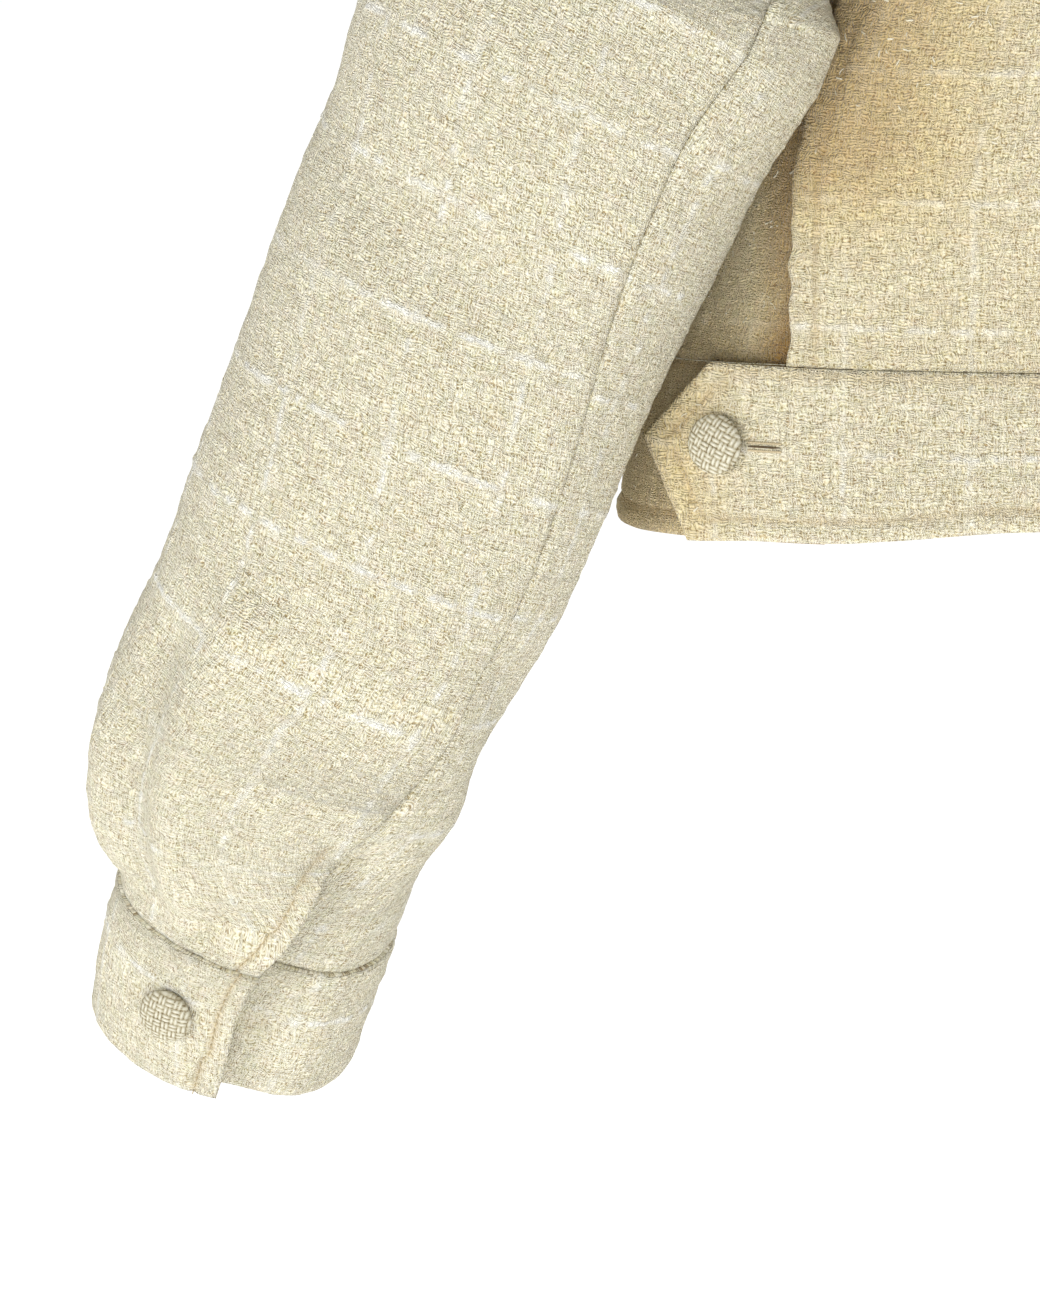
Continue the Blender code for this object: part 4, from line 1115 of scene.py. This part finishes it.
upper_patch, under_patch = sleeve_patches()
cuff = cuff_patch()
print("sleeve grids:", [patch["points"].shape[:2] for patch in (upper_patch, under_patch, cuff)])


# %% Where the cuff and the vent are stitched
def inside_columns(patch, inset, rows):
    """A line this far in from the patch's last column, over the given rows."""
    points, normals, across = patch["points"][rows], patch["normals"][rows], patch["cloth"][rows, :, 0]
    column = np.array([np.searchsorted(line, line[-1] - inset) for line in across])
    index = np.arange(len(points))
    return points[index, column], normals[index, column]


FLAP_STITCH_IN = 0.0085
VENT_STITCH_TOP_Z = -0.520
cuff_edge = inside_columns(cuff, FLAP_STITCH_IN, slice(0, None))
vent_rows = slice(int(np.searchsorted(-height_of(sleeve_ways()), -VENT_STITCH_TOP_Z)), None)
vent_edge = inside_columns(upper_patch, FLAP_STITCH_IN, vent_rows)
uppers, unders, cuffs = {}, {}, {}
for side, word in ((LEFT, "left"), (RIGHT, "right")):
    uppers[word] = cloth_shell("upper_sleeve_%s_cloth" % word, [upper_patch], side, PANEL_HALF, PANEL_HALF,
                               TWEED, [vent_edge[0]])
    unders[word] = cloth_shell("under_sleeve_%s_cloth" % word, [under_patch], side, PANEL_HALF, PANEL_HALF,
                               TWEED)
    cuffs[word] = cloth_shell("cuff_%s_cloth" % word, [cuff], side, BAND_OUTER, BAND_INNER, TWEED,
                              [cuff_edge[0]])


# %% [markdown]
# ## Topstitching with Geometry Nodes
# A row of stitches is one small shape repeated along a line, which is what Geometry Nodes are for.
# The line is resampled at the stitch length, a long bead is set on each point and turned along
# the line, and the instances are realized into a plain mesh.

# %% The stitch tree
STITCH_STEP = 0.0034
STITCH_LENGTH = 0.0026
STITCH_THICK = 0.00055
BEAD_SPLITS = 1


def new_tree(name, sockets):
    tree = bpy.data.node_groups.new(name, "GeometryNodeTree")
    tree.interface.new_socket("Geometry", in_out="INPUT", socket_type="NodeSocketGeometry")
    tree.interface.new_socket("Geometry", in_out="OUTPUT", socket_type="NodeSocketGeometry")
    for label, kind in sockets:
        tree.interface.new_socket(label, in_out="INPUT", socket_type=kind)
    return tree, tree.nodes.new("NodeGroupInput").outputs, tree.nodes.new("NodeGroupOutput").inputs


def stitch_tree():
    tree, given, result = new_tree("stitches_along_line", (
        ("Spacing", "NodeSocketFloat"), ("Length", "NodeSocketFloat"),
        ("Thickness", "NodeSocketFloat"), ("Material", "NodeSocketMaterial")))
    line = node(tree, "GeometryNodeMeshToCurve", {"Mesh": given["Geometry"]}).outputs[0]
    line = node(tree, "GeometryNodeResampleCurve", {"Curve": line, "Length": given["Spacing"]},
                mode="LENGTH").outputs[0]
    bead = node(tree, "GeometryNodeMeshIcoSphere", {"Radius": 0.5, "Subdivisions": BEAD_SPLITS}).outputs[0]
    size = node(tree, "ShaderNodeCombineXYZ", {0: given["Length"], 1: given["Thickness"],
                                              2: given["Thickness"]}).outputs[0]
    bead = node(tree, "GeometryNodeTransform", {"Geometry": bead, "Scale": size}).outputs[0]
    tangent = node(tree, "GeometryNodeInputTangent").outputs[0]
    turn = node(tree, "FunctionNodeAlignRotationToVector", {"Vector": tangent}, axis="X").outputs[0]
    beads = node(tree, "GeometryNodeInstanceOnPoints", {"Points": line, "Instance": bead,
                                                        "Rotation": turn}).outputs[0]
    real = node(tree, "GeometryNodeRealizeInstances", {0: beads}).outputs[0]
    painted = node(tree, "GeometryNodeSetMaterial",
                   {"Geometry": real, "Material": given["Material"]}).outputs[0]
    tree.links.new(painted, result["Geometry"])
    return tree


def grown(name, mesh, tree, values):
    """Run a tree on a mesh and keep its result as a plain mesh piece."""
    source = bpy.data.objects.new(name + "_source", mesh)
    bpy.context.scene.collection.objects.link(source)
    modifier = source.modifiers.new("grow", "NODES")
    modifier.node_group = tree
    for item in tree.interface.items_tree:
        if item.in_out == "INPUT" and item.name in values:
            modifier[item.identifier] = values[item.name]
    graph = bpy.context.evaluated_depsgraph_get()
    made = bpy.data.meshes.new_from_object(source.evaluated_get(graph))
    bpy.data.objects.remove(source, do_unlink=True)
    made.name = name
    made.shade_smooth()
    thing = bpy.data.objects.new(name, made)
    bpy.context.scene.collection.objects.link(thing)
    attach(thing, "root")
    print(name, len(made.polygons), "faces")
    return thing


# %% The thread, and a mesh line for each row of stitches
def thread(name, colour):
    material = bpy.data.materials.new(name)
    material.use_nodes = True
    tree = material.node_tree
    shader = tree.nodes["Principled BSDF"]
    place = node(tree, "ShaderNodeTexCoord").outputs["Object"]
    twist = node(tree, "ShaderNodeTexNoise",
                 {"Vector": place, "Scale": 1 / 0.0008, "Detail": 2.0}).outputs["Fac"]
    dark = tuple(c * 0.72 for c in colour[:3]) + (1,)
    tree.links.new(mixed(tree, twist, dark, colour), shader.inputs["Base Color"])
    bump = node(tree, "ShaderNodeBump", {"Height": twist, "Strength": 0.6, "Distance": 0.0002})
    tree.links.new(bump.outputs[0], shader.inputs["Normal"])
    shader.inputs["Roughness"].default_value = 0.85
    return material


THREAD = thread("thread", (0.50, 0.40, 0.23, 1))
STITCHES = stitch_tree()


def line_mesh(name, lines):
    points, edges = [], []
    for line in lines:
        edges += [(len(points) + i, len(points) + i + 1) for i in range(len(line) - 1)]
        points += [tuple(point) for point in line]
    mesh = bpy.data.meshes.new(name)
    mesh.from_pydata(points, edges, [])
    return mesh


def stitches(name, lines, lift, sides):
    """lines: (points, normals) pairs, worked at x >= 0; lift: the cloth's face above them."""
    rows = []
    for side in sides:
        for points, normals in lines:
            raised = points + normals * (lift - STITCH_GROOVE + STITCH_THICK * 0.25)
            rows.append(raised * np.array([side, 1, 1]))
    return grown(name, line_mesh(name + "_line", rows), STITCHES, {
        "Spacing": STITCH_STEP, "Length": STITCH_LENGTH, "Thickness": STITCH_THICK, "Material": THREAD})


back_stitches = stitches("back_topstitch", [lap_stitch], PANEL_HALF, (LEFT, RIGHT))
band_back_topstitch = stitches("waistband_back_topstitch", band_stitches, BAND_OUTER, (LEFT, RIGHT))
edge_stitches, band_topstitches, vent_stitches, cuff_stitches = {}, {}, {}, {}
for side, word in ((LEFT, "left"), (RIGHT, "right")):
    edge_stitches[word] = stitches("front_%s_topstitch" % word, [front_edge_stitch(side == LEFT)],
                                   PANEL_HALF, (side,))
    band_topstitches[word] = stitches("waistband_front_%s_topstitch" % word, front_band_lines[word],
                                      BAND_OUTER, (side,))
    vent_stitches[word] = stitches("vent_%s_topstitch" % word, [vent_edge], PANEL_HALF, (side,))
    cuff_stitches[word] = stitches("cuff_%s_topstitch" % word, [cuff_edge], BAND_OUTER, (side,))


# %% [markdown]
# ## Raised yarn floats
# The shader's weave is flat at the silhouette, so real yarn is added: small arched floats, strewn
# over the cloth's face by Distribute Points on Faces with a fixed seed. Each is turned to lie
# along or across the cloth, like the yarns around it, and both its ends sink into the cloth.

# %% The float tree
FLOAT_LENGTH = 0.0030
FLOAT_THICK = 0.00075
FLOATS_PER_M2 = 15000


def float_tree():
    tree, given, result = new_tree("yarn_floats", (
        ("Density", "NodeSocketFloat"), ("Seed", "NodeSocketInt"), ("Length", "NodeSocketFloat"),
        ("Thickness", "NodeSocketFloat"), ("Material", "NodeSocketMaterial")))
    strewn = node(tree, "GeometryNodeDistributePointsOnFaces", {
        "Mesh": given["Geometry"], "Density": given["Density"], "Seed": given["Seed"]})
    half = maths(tree, "MULTIPLY", given["Length"], 0.5)
    minus = maths(tree, "MULTIPLY", half, -1.0)
    rise = maths(tree, "MULTIPLY", given["Thickness"], 1.1)
    sink = maths(tree, "MULTIPLY", given["Thickness"], -0.55)
    ends = [node(tree, "ShaderNodeCombineXYZ", {0: x, 2: sink}).outputs[0] for x in (minus, half)]
    crown = node(tree, "ShaderNodeCombineXYZ", {2: rise}).outputs[0]
    arch = node(tree, "GeometryNodeCurveQuadraticBezier", {
        "Resolution": 3, "Start": ends[0], "Middle": crown, "End": ends[1]}).outputs[0]
    thick = maths(tree, "MULTIPLY", given["Thickness"], 0.5)
    circle = node(tree, "GeometryNodeCurvePrimitiveCircle", {"Resolution": 3, "Radius": thick}).outputs[0]
    yarn = node(tree, "GeometryNodeCurveToMesh", {"Curve": arch, "Profile Curve": circle,
                                                  "Fill Caps": True}).outputs[0]
    lengthwise = node(tree, "GeometryNodeInputNamedAttribute", {"Name": "lengthwise"},
                      data_type="FLOAT_VECTOR").outputs[0]
    stand = node(tree, "FunctionNodeAlignRotationToVector",
                 {"Vector": strewn.outputs["Normal"]}, axis="Z").outputs[0]
    lie = node(tree, "FunctionNodeAlignRotationToVector",
               {"Rotation": stand, "Vector": lengthwise}, axis="X", pivot_axis="Z").outputs[0]
    index = node(tree, "GeometryNodeInputIndex").outputs[0]
    quarter = node(tree, "FunctionNodeRandomValue", {2: 0.0, 3: 1.0, "ID": index, "Seed": 5}).outputs[1]
    quarter = maths(tree, "ROUND", quarter)
    slant = node(tree, "FunctionNodeRandomValue", {2: -0.7, 3: 0.7, "Seed": 9}).outputs[1]
    angle = maths(tree, "MULTIPLY_ADD", quarter, pi / 2, slant)
    about = node(tree, "FunctionNodeAxisAngleToRotation", {"Axis": (0, 0, 1), "Angle": angle}).outputs[0]
    turn = node(tree, "FunctionNodeRotateRotation", {"Rotation": lie, "Rotate By": about},
                rotation_space="LOCAL").outputs[0]
    size = node(tree, "FunctionNodeRandomValue", {2: 0.55, 3: 1.15, "Seed": 3}).outputs[1]
    floats = node(tree, "GeometryNodeInstanceOnPoints", {
        "Points": strewn.outputs["Points"], "Instance": yarn, "Rotation": turn, "Scale": size}).outputs[0]
    real = node(tree, "GeometryNodeRealizeInstances", {0: floats}).outputs[0]
    painted = node(tree, "GeometryNodeSetMaterial",
                   {"Geometry": real, "Material": given["Material"]}).outputs[0]
    tree.links.new(painted, result["Geometry"])
    return tree


# %% Strew the floats on each piece's face
FLOATS = float_tree()
YARN_CLOTH = thread("loose_yarn", (0.80, 0.74, 0.57, 1))


def face_only(name, patches, side, outer):
    """The cloth's face as an open sheet that carries its lengthwise direction."""
    points = [(p["points"] + p["normals"] * outer)[STEP:-STEP:2, STEP:-STEP:2] for p in patches]
    flip = np.array([side, 1, 1])
    vertices, faces, ways = [], [], []
    for grid in points:
        grid = grid * flip
        number = np.arange(grid.shape[0] * grid.shape[1]).reshape(grid.shape[:2]) + sum(map(len, vertices))
        quads = grid_quads(number)
        faces += [tuple(q) for q in (quads if side == RIGHT else quads[:, ::-1]).tolist()]
        ways.append(unit(np.gradient(grid, axis=0)).reshape(-1, 3))
        vertices.append(grid.reshape(-1, 3))
    every = np.concatenate(vertices)
    mesh = make_mesh(name, every, faces)
    layer = mesh.attributes.new("lengthwise", "FLOAT_VECTOR", "POINT")
    layer.data.foreach_set("vector", np.concatenate(ways).astype(np.float32).ravel())
    return mesh


def facing_out(patches):
    """Whether the first patch's quads already wind so that they face outwards."""
    p, n = patches[0]["points"], patches[0]["normals"]
    return np.cross(p[0, 1] - p[0, 0], p[1, 0] - p[0, 0]).dot(n[0, 0]) > 0


def floats_on(name, patches, side, outer, seed):
    mesh = face_only(name + "_face", patches, side, outer)
    if not facing_out(patches):
        mesh.flip_normals()
    return grown(name, mesh, FLOATS, {
        "Density": float(FLOATS_PER_M2), "Seed": seed, "Length": FLOAT_LENGTH,
        "Thickness": FLOAT_THICK, "Material": YARN_CLOTH})


back_floats = floats_on("back_floats", [half_back, mirrored(half_back)], RIGHT, PANEL_HALF, 11)
band_floats = floats_on("waistband_back_floats", [half_band, mirrored(half_band)], RIGHT, BAND_OUTER, 12)
piece_floats = {}
for side, word in ((LEFT, "left"), (RIGHT, "right")):
    for label, patches, outer, seed in (
            ("front", front_patches(side == LEFT), PANEL_HALF, 20),
            ("waistband_front", [front_band_patch(side == LEFT)], BAND_OUTER, 30),
            ("upper_sleeve", [upper_patch], PANEL_HALF, 40),
            ("under_sleeve", [under_patch], PANEL_HALF, 50),
            ("cuff", [cuff], BAND_OUTER, 60)):
        name = "%s_%s_floats" % (label, word)
        piece_floats[label, word] = floats_on(name, patches, side, outer, seed + side)


# %% [markdown]
# ## Covered buttons
# Each button is a shallow dome covered with a coarser basket weave of paired yarns. The dome is
# made of rings, and the weave raises it: over a square the yarns run one way, over the next the
# other. Its place and the direction it faces come from the cloth's form, and its CAD solid is hidden.

# %% A covered button
BUTTON_RADIUS = 0.0101
BUTTON_HEIGHT = 0.0062
BUTTON_SKIRT = 0.0016
COVER_SQUARE = 0.0030
COVER_RISE = 0.00042
COVER_PINCH = 20            # a raised yarn also draws in, by this share for each metre it rises
DOME_FOOT = 0.0028
STEM_RADIUS, STEM_HEIGHT = 0.0042, 0.0012
SUNK = 0.0003               # how far the button presses into the cloth


def cover(x, y):
    """Height of the basket weave over a button, 0 to 1, and how pale it is."""
    a, b = x / COVER_SQUARE, y / COVER_SQUARE
    flip = (np.floor(a) + np.floor(b)) % 2
    over, down = np.where(flip > 0, a, b), np.where(flip > 0, b, a)
    yarn = np.abs(np.sin(pi * 2 * over)) ** 0.7
    arch = np.abs(np.sin(pi * down)) ** 0.5
    return yarn * (0.35 + 0.65 * arch)


def button_mesh(name, slant):
    rings, sides = 16 * FINE, 60 * FINE
    turn = np.linspace(0, 2 * pi, sides, endpoint=False)
    profile = [(STEM_RADIUS, 0.0), (STEM_RADIUS, STEM_HEIGHT), (BUTTON_RADIUS * 0.93, STEM_HEIGHT)]
    profile += [(BUTTON_RADIUS, BUTTON_SKIRT + STEM_HEIGHT)]
    for t in np.linspace(0, pi / 2, rings)[1:-1]:
        profile.append((BUTTON_RADIUS * cos(t), DOME_FOOT + (BUTTON_HEIGHT - DOME_FOOT) * sin(t)))
    points = []
    for radius, height in profile:
        x, y = radius * np.cos(turn), radius * np.sin(turn)
        rise = COVER_RISE * cover(x * cos(slant) - y * sin(slant), x * sin(slant) + y * cos(slant))
        rise = rise * (height > BUTTON_SKIRT)
        out = radius / BUTTON_RADIUS
        inward = 1 - rise * COVER_PINCH
        up = height + rise * (1 - out ** 6) - SUNK
        points.append(np.stack([x * inward, y * inward, up], axis=1))
    every = np.concatenate(points + [[(0.0, 0.0, BUTTON_HEIGHT - 0.0001)]])
    faces = []
    for ring in range(len(profile) - 1):
        for k in range(sides):
            low, after = ring * sides, (k + 1) % sides
            faces.append((low + k, low + after, low + sides + after, low + sides + k))
    last = (len(profile) - 1) * sides
    faces += [(last + k, last + (k + 1) % sides, len(every) - 1) for k in range(sides)]
    faces.append(tuple(range(sides - 1, -1, -1)))
    return make_mesh(name, every, faces)


# %% The button's cloth
def button_cloth():
    material = bpy.data.materials.new("button_basket")
    material.use_nodes = True
    tree = material.node_tree
    shader = tree.nodes["Principled BSDF"]
    spot = node(tree, "ShaderNodeAttribute", attribute_name="weave").outputs["Fac"]
    place = node(tree, "ShaderNodeTexCoord").outputs["Object"]
    fibre = node(tree, "ShaderNodeTexNoise",
                 {"Vector": place, "Scale": 1 / 0.0006, "Detail": 3.0}).outputs["Fac"]
    height = maths(tree, "MULTIPLY_ADD", fibre, 0.5, maths(tree, "SUBTRACT", spot, 0.22))
    ramp = node(tree, "ShaderNodeValToRGB", {0: height})
    # painted shade: the ramp's dark end darkens the pits between the paired yarns
    ramp.color_ramp.elements[0].position, ramp.color_ramp.elements[0].color = 0.16, (0.18, 0.135, 0.065, 1)
    ramp.color_ramp.elements[1].position, ramp.color_ramp.elements[1].color = 1.0, (0.66, 0.635, 0.53, 1)
    ramp.color_ramp.elements.new(0.55).color = (0.44, 0.40, 0.28, 1)
    tree.links.new(ramp.outputs[0], shader.inputs["Base Color"])
    bump = node(tree, "ShaderNodeBump", {"Height": height, "Strength": 0.7, "Distance": 0.0004})
    tree.links.new(bump.outputs[0], shader.inputs["Normal"])
    shader.inputs["Roughness"].default_value = 0.9
    shader.inputs["Specular IOR Level"].default_value = 0.2
    return material


BUTTON_CLOTH = button_cloth()


def place_button(name, spot, side, cloth, slant):
    point, normal = spot
    flip = np.array([side, 1, 1])
    outward = Vector(np.ravel(normal) * flip)
    foot = Vector((np.ravel(point) + np.ravel(normal) * (cloth + 0.0004)) * flip)
    mesh = button_mesh(name + "_cover", slant)
    local = np.empty(len(mesh.vertices) * 3, np.float32)
    mesh.vertices.foreach_get("co", local)
    local = local.reshape(-1, 3)
    weave = cover(local[:, 0] * cos(slant) - local[:, 1] * sin(slant),
                  local[:, 0] * sin(slant) + local[:, 1] * cos(slant))
    layer = mesh.attributes.new("weave", "FLOAT", "POINT")
    layer.data.foreach_set("value", weave.astype(np.float32))
    turn = Vector((0, 0, 1)).rotation_difference(outward).to_matrix().to_4x4()
    mesh.transform(Matrix.Translation(foot) @ turn)
    mesh.materials.append(BUTTON_CLOTH)
    thing = bpy.data.objects.new(name + "_cover", mesh)
    bpy.context.scene.collection.objects.link(thing)
    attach(thing, "root")
    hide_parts(name)
    return thing


# %% All nine buttons
FRONT_BUTTON_TOP_Z = -0.104
FRONT_BUTTON_STEP = 0.0725
TAB_BUTTON = (0.1935, -0.3985)
CUFF_BUTTON = (-0.5970, 70)


def front_spot(z):
    return on_front(np.array([180.0]), np.array([z]), False)


def cuff_spot():
    """The cuff button's place and direction: the nearest point of the cuff's patch."""
    z, turn = CUFF_BUTTON
    heights = np.array([[z + 0.0005], [z], [z - 0.0005]])
    around = sleeve_point(way_of(heights), np.array([[turn - 0.5, turn, turn + 0.5]]))
    normal = grid_normals(around)[1, 1]
    return around[1, 1] + normal * float(flap_out(z, turn)), normal


front_button_z = [FRONT_BUTTON_TOP_Z - FRONT_BUTTON_STEP * n for n in range(4)]
waist_button_z = (WAIST_SEAM_Z + float(hem_height(0.0))) / 2
front_buttons = [place_button("button_front_%d" % (n + 1), front_spot(z), RIGHT, PANEL_HALF, 0.4 + n)
                 for n, z in enumerate(front_button_z)]
waist_button = place_button("button_waistband", front_spot(waist_button_z), RIGHT, BAND_OUTER, 0.2)
tab_buttons, cuff_buttons = {}, {}
for side, word in ((LEFT, "left"), (RIGHT, "right")):
    tab_spot = on_band_back(np.array([TAB_BUTTON[0]]), np.array([TAB_BUTTON[1]]))
    tab_buttons[word] = place_button("button_tab_" + word, tab_spot, side, BAND_OUTER, 1.0)
    cuff_buttons[word] = place_button("button_cuff_" + word, cuff_spot(), side, BAND_OUTER, 0.7)
print("buttons:", len(front_buttons) + 1 + len(tab_buttons) + len(cuff_buttons))


# %% [markdown]
# ## Buttonholes
# A worked buttonhole is a slit with two close rows of thread along it. Only the part that sticks
# out beyond the button shows. The slit is a dark, thin, pointed leaf that lies on the cloth, and
# the rows are the stitch tree again, with short steps.

# %% Buttonholes beside the tab, cuff and front buttons
HOLE_START, HOLE_END = 0.0092, 0.0190     # measured from the button's middle
HOLE_HALF = 0.0013
SLIT_HALF = 0.00035
SLIT = thread("slit_shadow", (0.10, 0.065, 0.03, 1))
HOLE_THREAD = thread("hole_thread", (0.60, 0.50, 0.32, 1))


def hole_line(path, offset):
    """path(distance, offset) gives points and normals on the cloth."""
    return path(np.linspace(HOLE_START, HOLE_END, 24), offset)


def buttonhole(name, path, side, cloth):
    rows = [hole_line(path, offset) for offset in (-HOLE_HALF, HOLE_HALF)]
    flip = np.array([side, 1, 1])
    lines = [(points + normals * (cloth + 0.0004)) * flip for points, normals in rows]
    thread_rows = grown(name + "_thread", line_mesh(name + "_rows", lines), STITCHES, {
        "Spacing": 0.0007, "Length": 0.0010, "Thickness": 0.0011, "Material": HOLE_THREAD})
    leaf = SLIT_HALF * np.sin(np.linspace(0.25, pi - 0.05, 24)) ** 0.5
    middle, normals = hole_line(path, 0.0)
    over = unit(rows[1][0] - rows[0][0])
    top = middle + normals * (cloth + 0.0009)
    low = middle + normals * (cloth - 0.0010)
    rings = np.stack([top + over * leaf[:, None], top - over * leaf[:, None],
                      low - over * leaf[:, None], low + over * leaf[:, None]], axis=1) * flip
    faces = [tuple(range(4)), tuple(95 - np.arange(4))]
    for k in range(23):
        for a in range(4):
            b = (a + 1) % 4
            faces.append((4 * k + a, 4 * k + 4 + a, 4 * k + 4 + b, 4 * k + b))
    mesh = make_mesh(name + "_slit", rings.reshape(-1, 3), faces)
    if signed_volume(mesh) < 0:
        mesh.flip_normals()
    mesh.materials.append(SLIT)
    slit = bpy.data.objects.new(name + "_slit", mesh)
    bpy.context.scene.collection.objects.link(slit)
    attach(slit, "root")
    return [thread_rows, slit]


def signed_volume(mesh):
    """Six times the volume that the faces close in; below zero, they face inwards."""
    total = 0.0
    for face in mesh.polygons:
        corners = [mesh.vertices[i].co for i in face.vertices]
        for second, third in zip(corners[1:], corners[2:]):
            total += corners[0].dot(second.cross(third))
    return total


def tab_path(distance, offset):
    return on_band_back(TAB_BUTTON[0] - distance, TAB_BUTTON[1] + offset + 0 * distance)


def front_path(height):
    def path(distance, offset):
        angle = angle_in_front(distance, height + offset + 0 * distance)
        return on_front(angle, height + offset + 0 * distance, False)
    return path


def cuff_path(distance, offset):
    z, turn = CUFF_BUTTON
    turns = (turn - np.degrees(distance / 0.0455))[None, :]
    heights = np.array([[0.0005], [0.0], [-0.0005]]) + z + offset
    around = sleeve_point(way_of(heights), turns)
    normals = grid_normals(around)[1]
    return around[1] + normals * flap_out(z, turns[0])[:, None], normals


hole_pieces = {"front": []}
for side, word in ((LEFT, "left"), (RIGHT, "right")):
    hole_pieces["tab_" + word] = buttonhole("hole_tab_" + word, tab_path, side, BAND_OUTER)
    hole_pieces["cuff_" + word] = buttonhole("hole_cuff_" + word, cuff_path, side, BAND_OUTER)
for n, z in enumerate(front_button_z):
    hole_pieces["front"] += buttonhole("hole_front_%d" % (n + 1), front_path(z), RIGHT, PANEL_HALF)
hole_pieces["waistband"] = buttonhole("hole_waistband", front_path(waist_button_z), RIGHT, BAND_OUTER)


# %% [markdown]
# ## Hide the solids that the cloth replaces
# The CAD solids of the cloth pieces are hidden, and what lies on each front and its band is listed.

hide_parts("back")
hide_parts("waistband_back")
for word in ("left", "right"):
    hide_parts("front_" + word)
    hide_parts("waistband_front_" + word)
    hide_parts("upper_sleeve_" + word)
    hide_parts("under_sleeve_" + word)
    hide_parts("cuff_" + word)
    on_front_piece = [edge_stitches[word], piece_floats["front", word]]
    on_band = [band_topstitches[word], piece_floats["waistband_front", word]]
    if word == "right":
        on_front_piece += front_buttons + hole_pieces["front"]
        on_band += [waist_button] + hole_pieces["waistband"]


# %% [markdown]
# ## Floor, light and camera
# The jacket hangs free, so the floor lies below it and only gives a pale ground. The world is
# white all round, like a light tent, but weaker as a light than it looks. Broad lamps from the
# left and the front shape the folds and open up the recess, and one lights the far side.

# %% Floor
def plain(name, colour):
    material = bpy.data.materials.new(name)
    material.use_nodes = True
    shader = material.node_tree.nodes["Principled BSDF"]
    shader.inputs["Base Color"].default_value = colour
    shader.inputs["Roughness"].default_value = 0.9
    return material


FLOOR_Z = -0.95
FLOOR_REACH = 30.0
FLOOR_GLOW = 0.80
corners = [(x * FLOOR_REACH, y * FLOOR_REACH, FLOOR_Z) for x, y in ((-1, -1), (1, -1), (1, 1), (-1, 1))]
floor = bpy.data.objects.new("floor", make_mesh("floor", corners, [(0, 1, 2, 3)]))
floor.data.materials.append(plain("pale_floor", (0.93, 0.93, 0.93, 1)))
floor_shader = floor.data.materials[0].node_tree.nodes["Principled BSDF"]
floor_shader.inputs["Emission Color"].default_value = (1, 1, 1, 1)
floor_shader.inputs["Emission Strength"].default_value = FLOOR_GLOW
bpy.context.scene.collection.objects.link(floor)

# %% World and lamps
WORLD_STRENGTH = 0.33       # as a light
WORLD_SEEN = 1.02           # as the camera sees it
LAMPS = (                   # name, place, size, watts
    ("key", (-2.0, -1.35, -0.25), 1.1, 19.5),
    ("front", (-0.3, -2.4, -0.80), 1.2, 31.0),
    ("side_fill", (1.3, -1.9, -0.75), 1.4, 2.0),
    ("rim", (0.9, 2.0, 0.8), 1.6, 14.0),
)
world = bpy.data.worlds.new("light_tent")
world.use_nodes = True
background = world.node_tree.nodes["Background"]
background.inputs["Color"].default_value = (1.0, 1.0, 1.0, 1)
seen = node(world.node_tree, "ShaderNodeLightPath").outputs["Is Camera Ray"]
strength = maths(world.node_tree, "MULTIPLY_ADD", seen, WORLD_SEEN - WORLD_STRENGTH, WORLD_STRENGTH)
world.node_tree.links.new(strength, background.inputs["Strength"])
bpy.context.scene.world = world
AIM = Vector((0.0, 0.0, -0.32))
for name, place, size, power in LAMPS:
    lamp = bpy.data.lights.new(name, "AREA")
    lamp.shape, lamp.size, lamp.energy = "DISK", size, power
    thing = bpy.data.objects.new(name, lamp)
    thing.location = place
    thing.rotation_euler = (AIM - Vector(place)).to_track_quat("-Z", "Y").to_euler()
    bpy.context.scene.collection.objects.link(thing)
bpy.context.scene.view_settings.view_transform = "Standard"

# %% Camera
LOOK_AT = Vector((-0.2635, -0.060, -0.470))
CAMERA_UP = 10
CAMERA_DISTANCE = 1.40
VIEW_HEIGHT = 0.442
camera = bpy.data.cameras.new("camera")
camera.sensor_fit = "VERTICAL"
camera.sensor_height = 24
camera.lens = 24 * CAMERA_DISTANCE / VIEW_HEIGHT
viewer = bpy.data.objects.new("camera", camera)
toward = Vector((0, cos(radians(CAMERA_UP)), -sin(radians(CAMERA_UP))))
viewer.location = LOOK_AT - toward * CAMERA_DISTANCE
viewer.rotation_euler = toward.to_track_quat("-Z", "Y").to_euler()
bpy.context.scene.collection.objects.link(viewer)
bpy.context.scene.camera = viewer
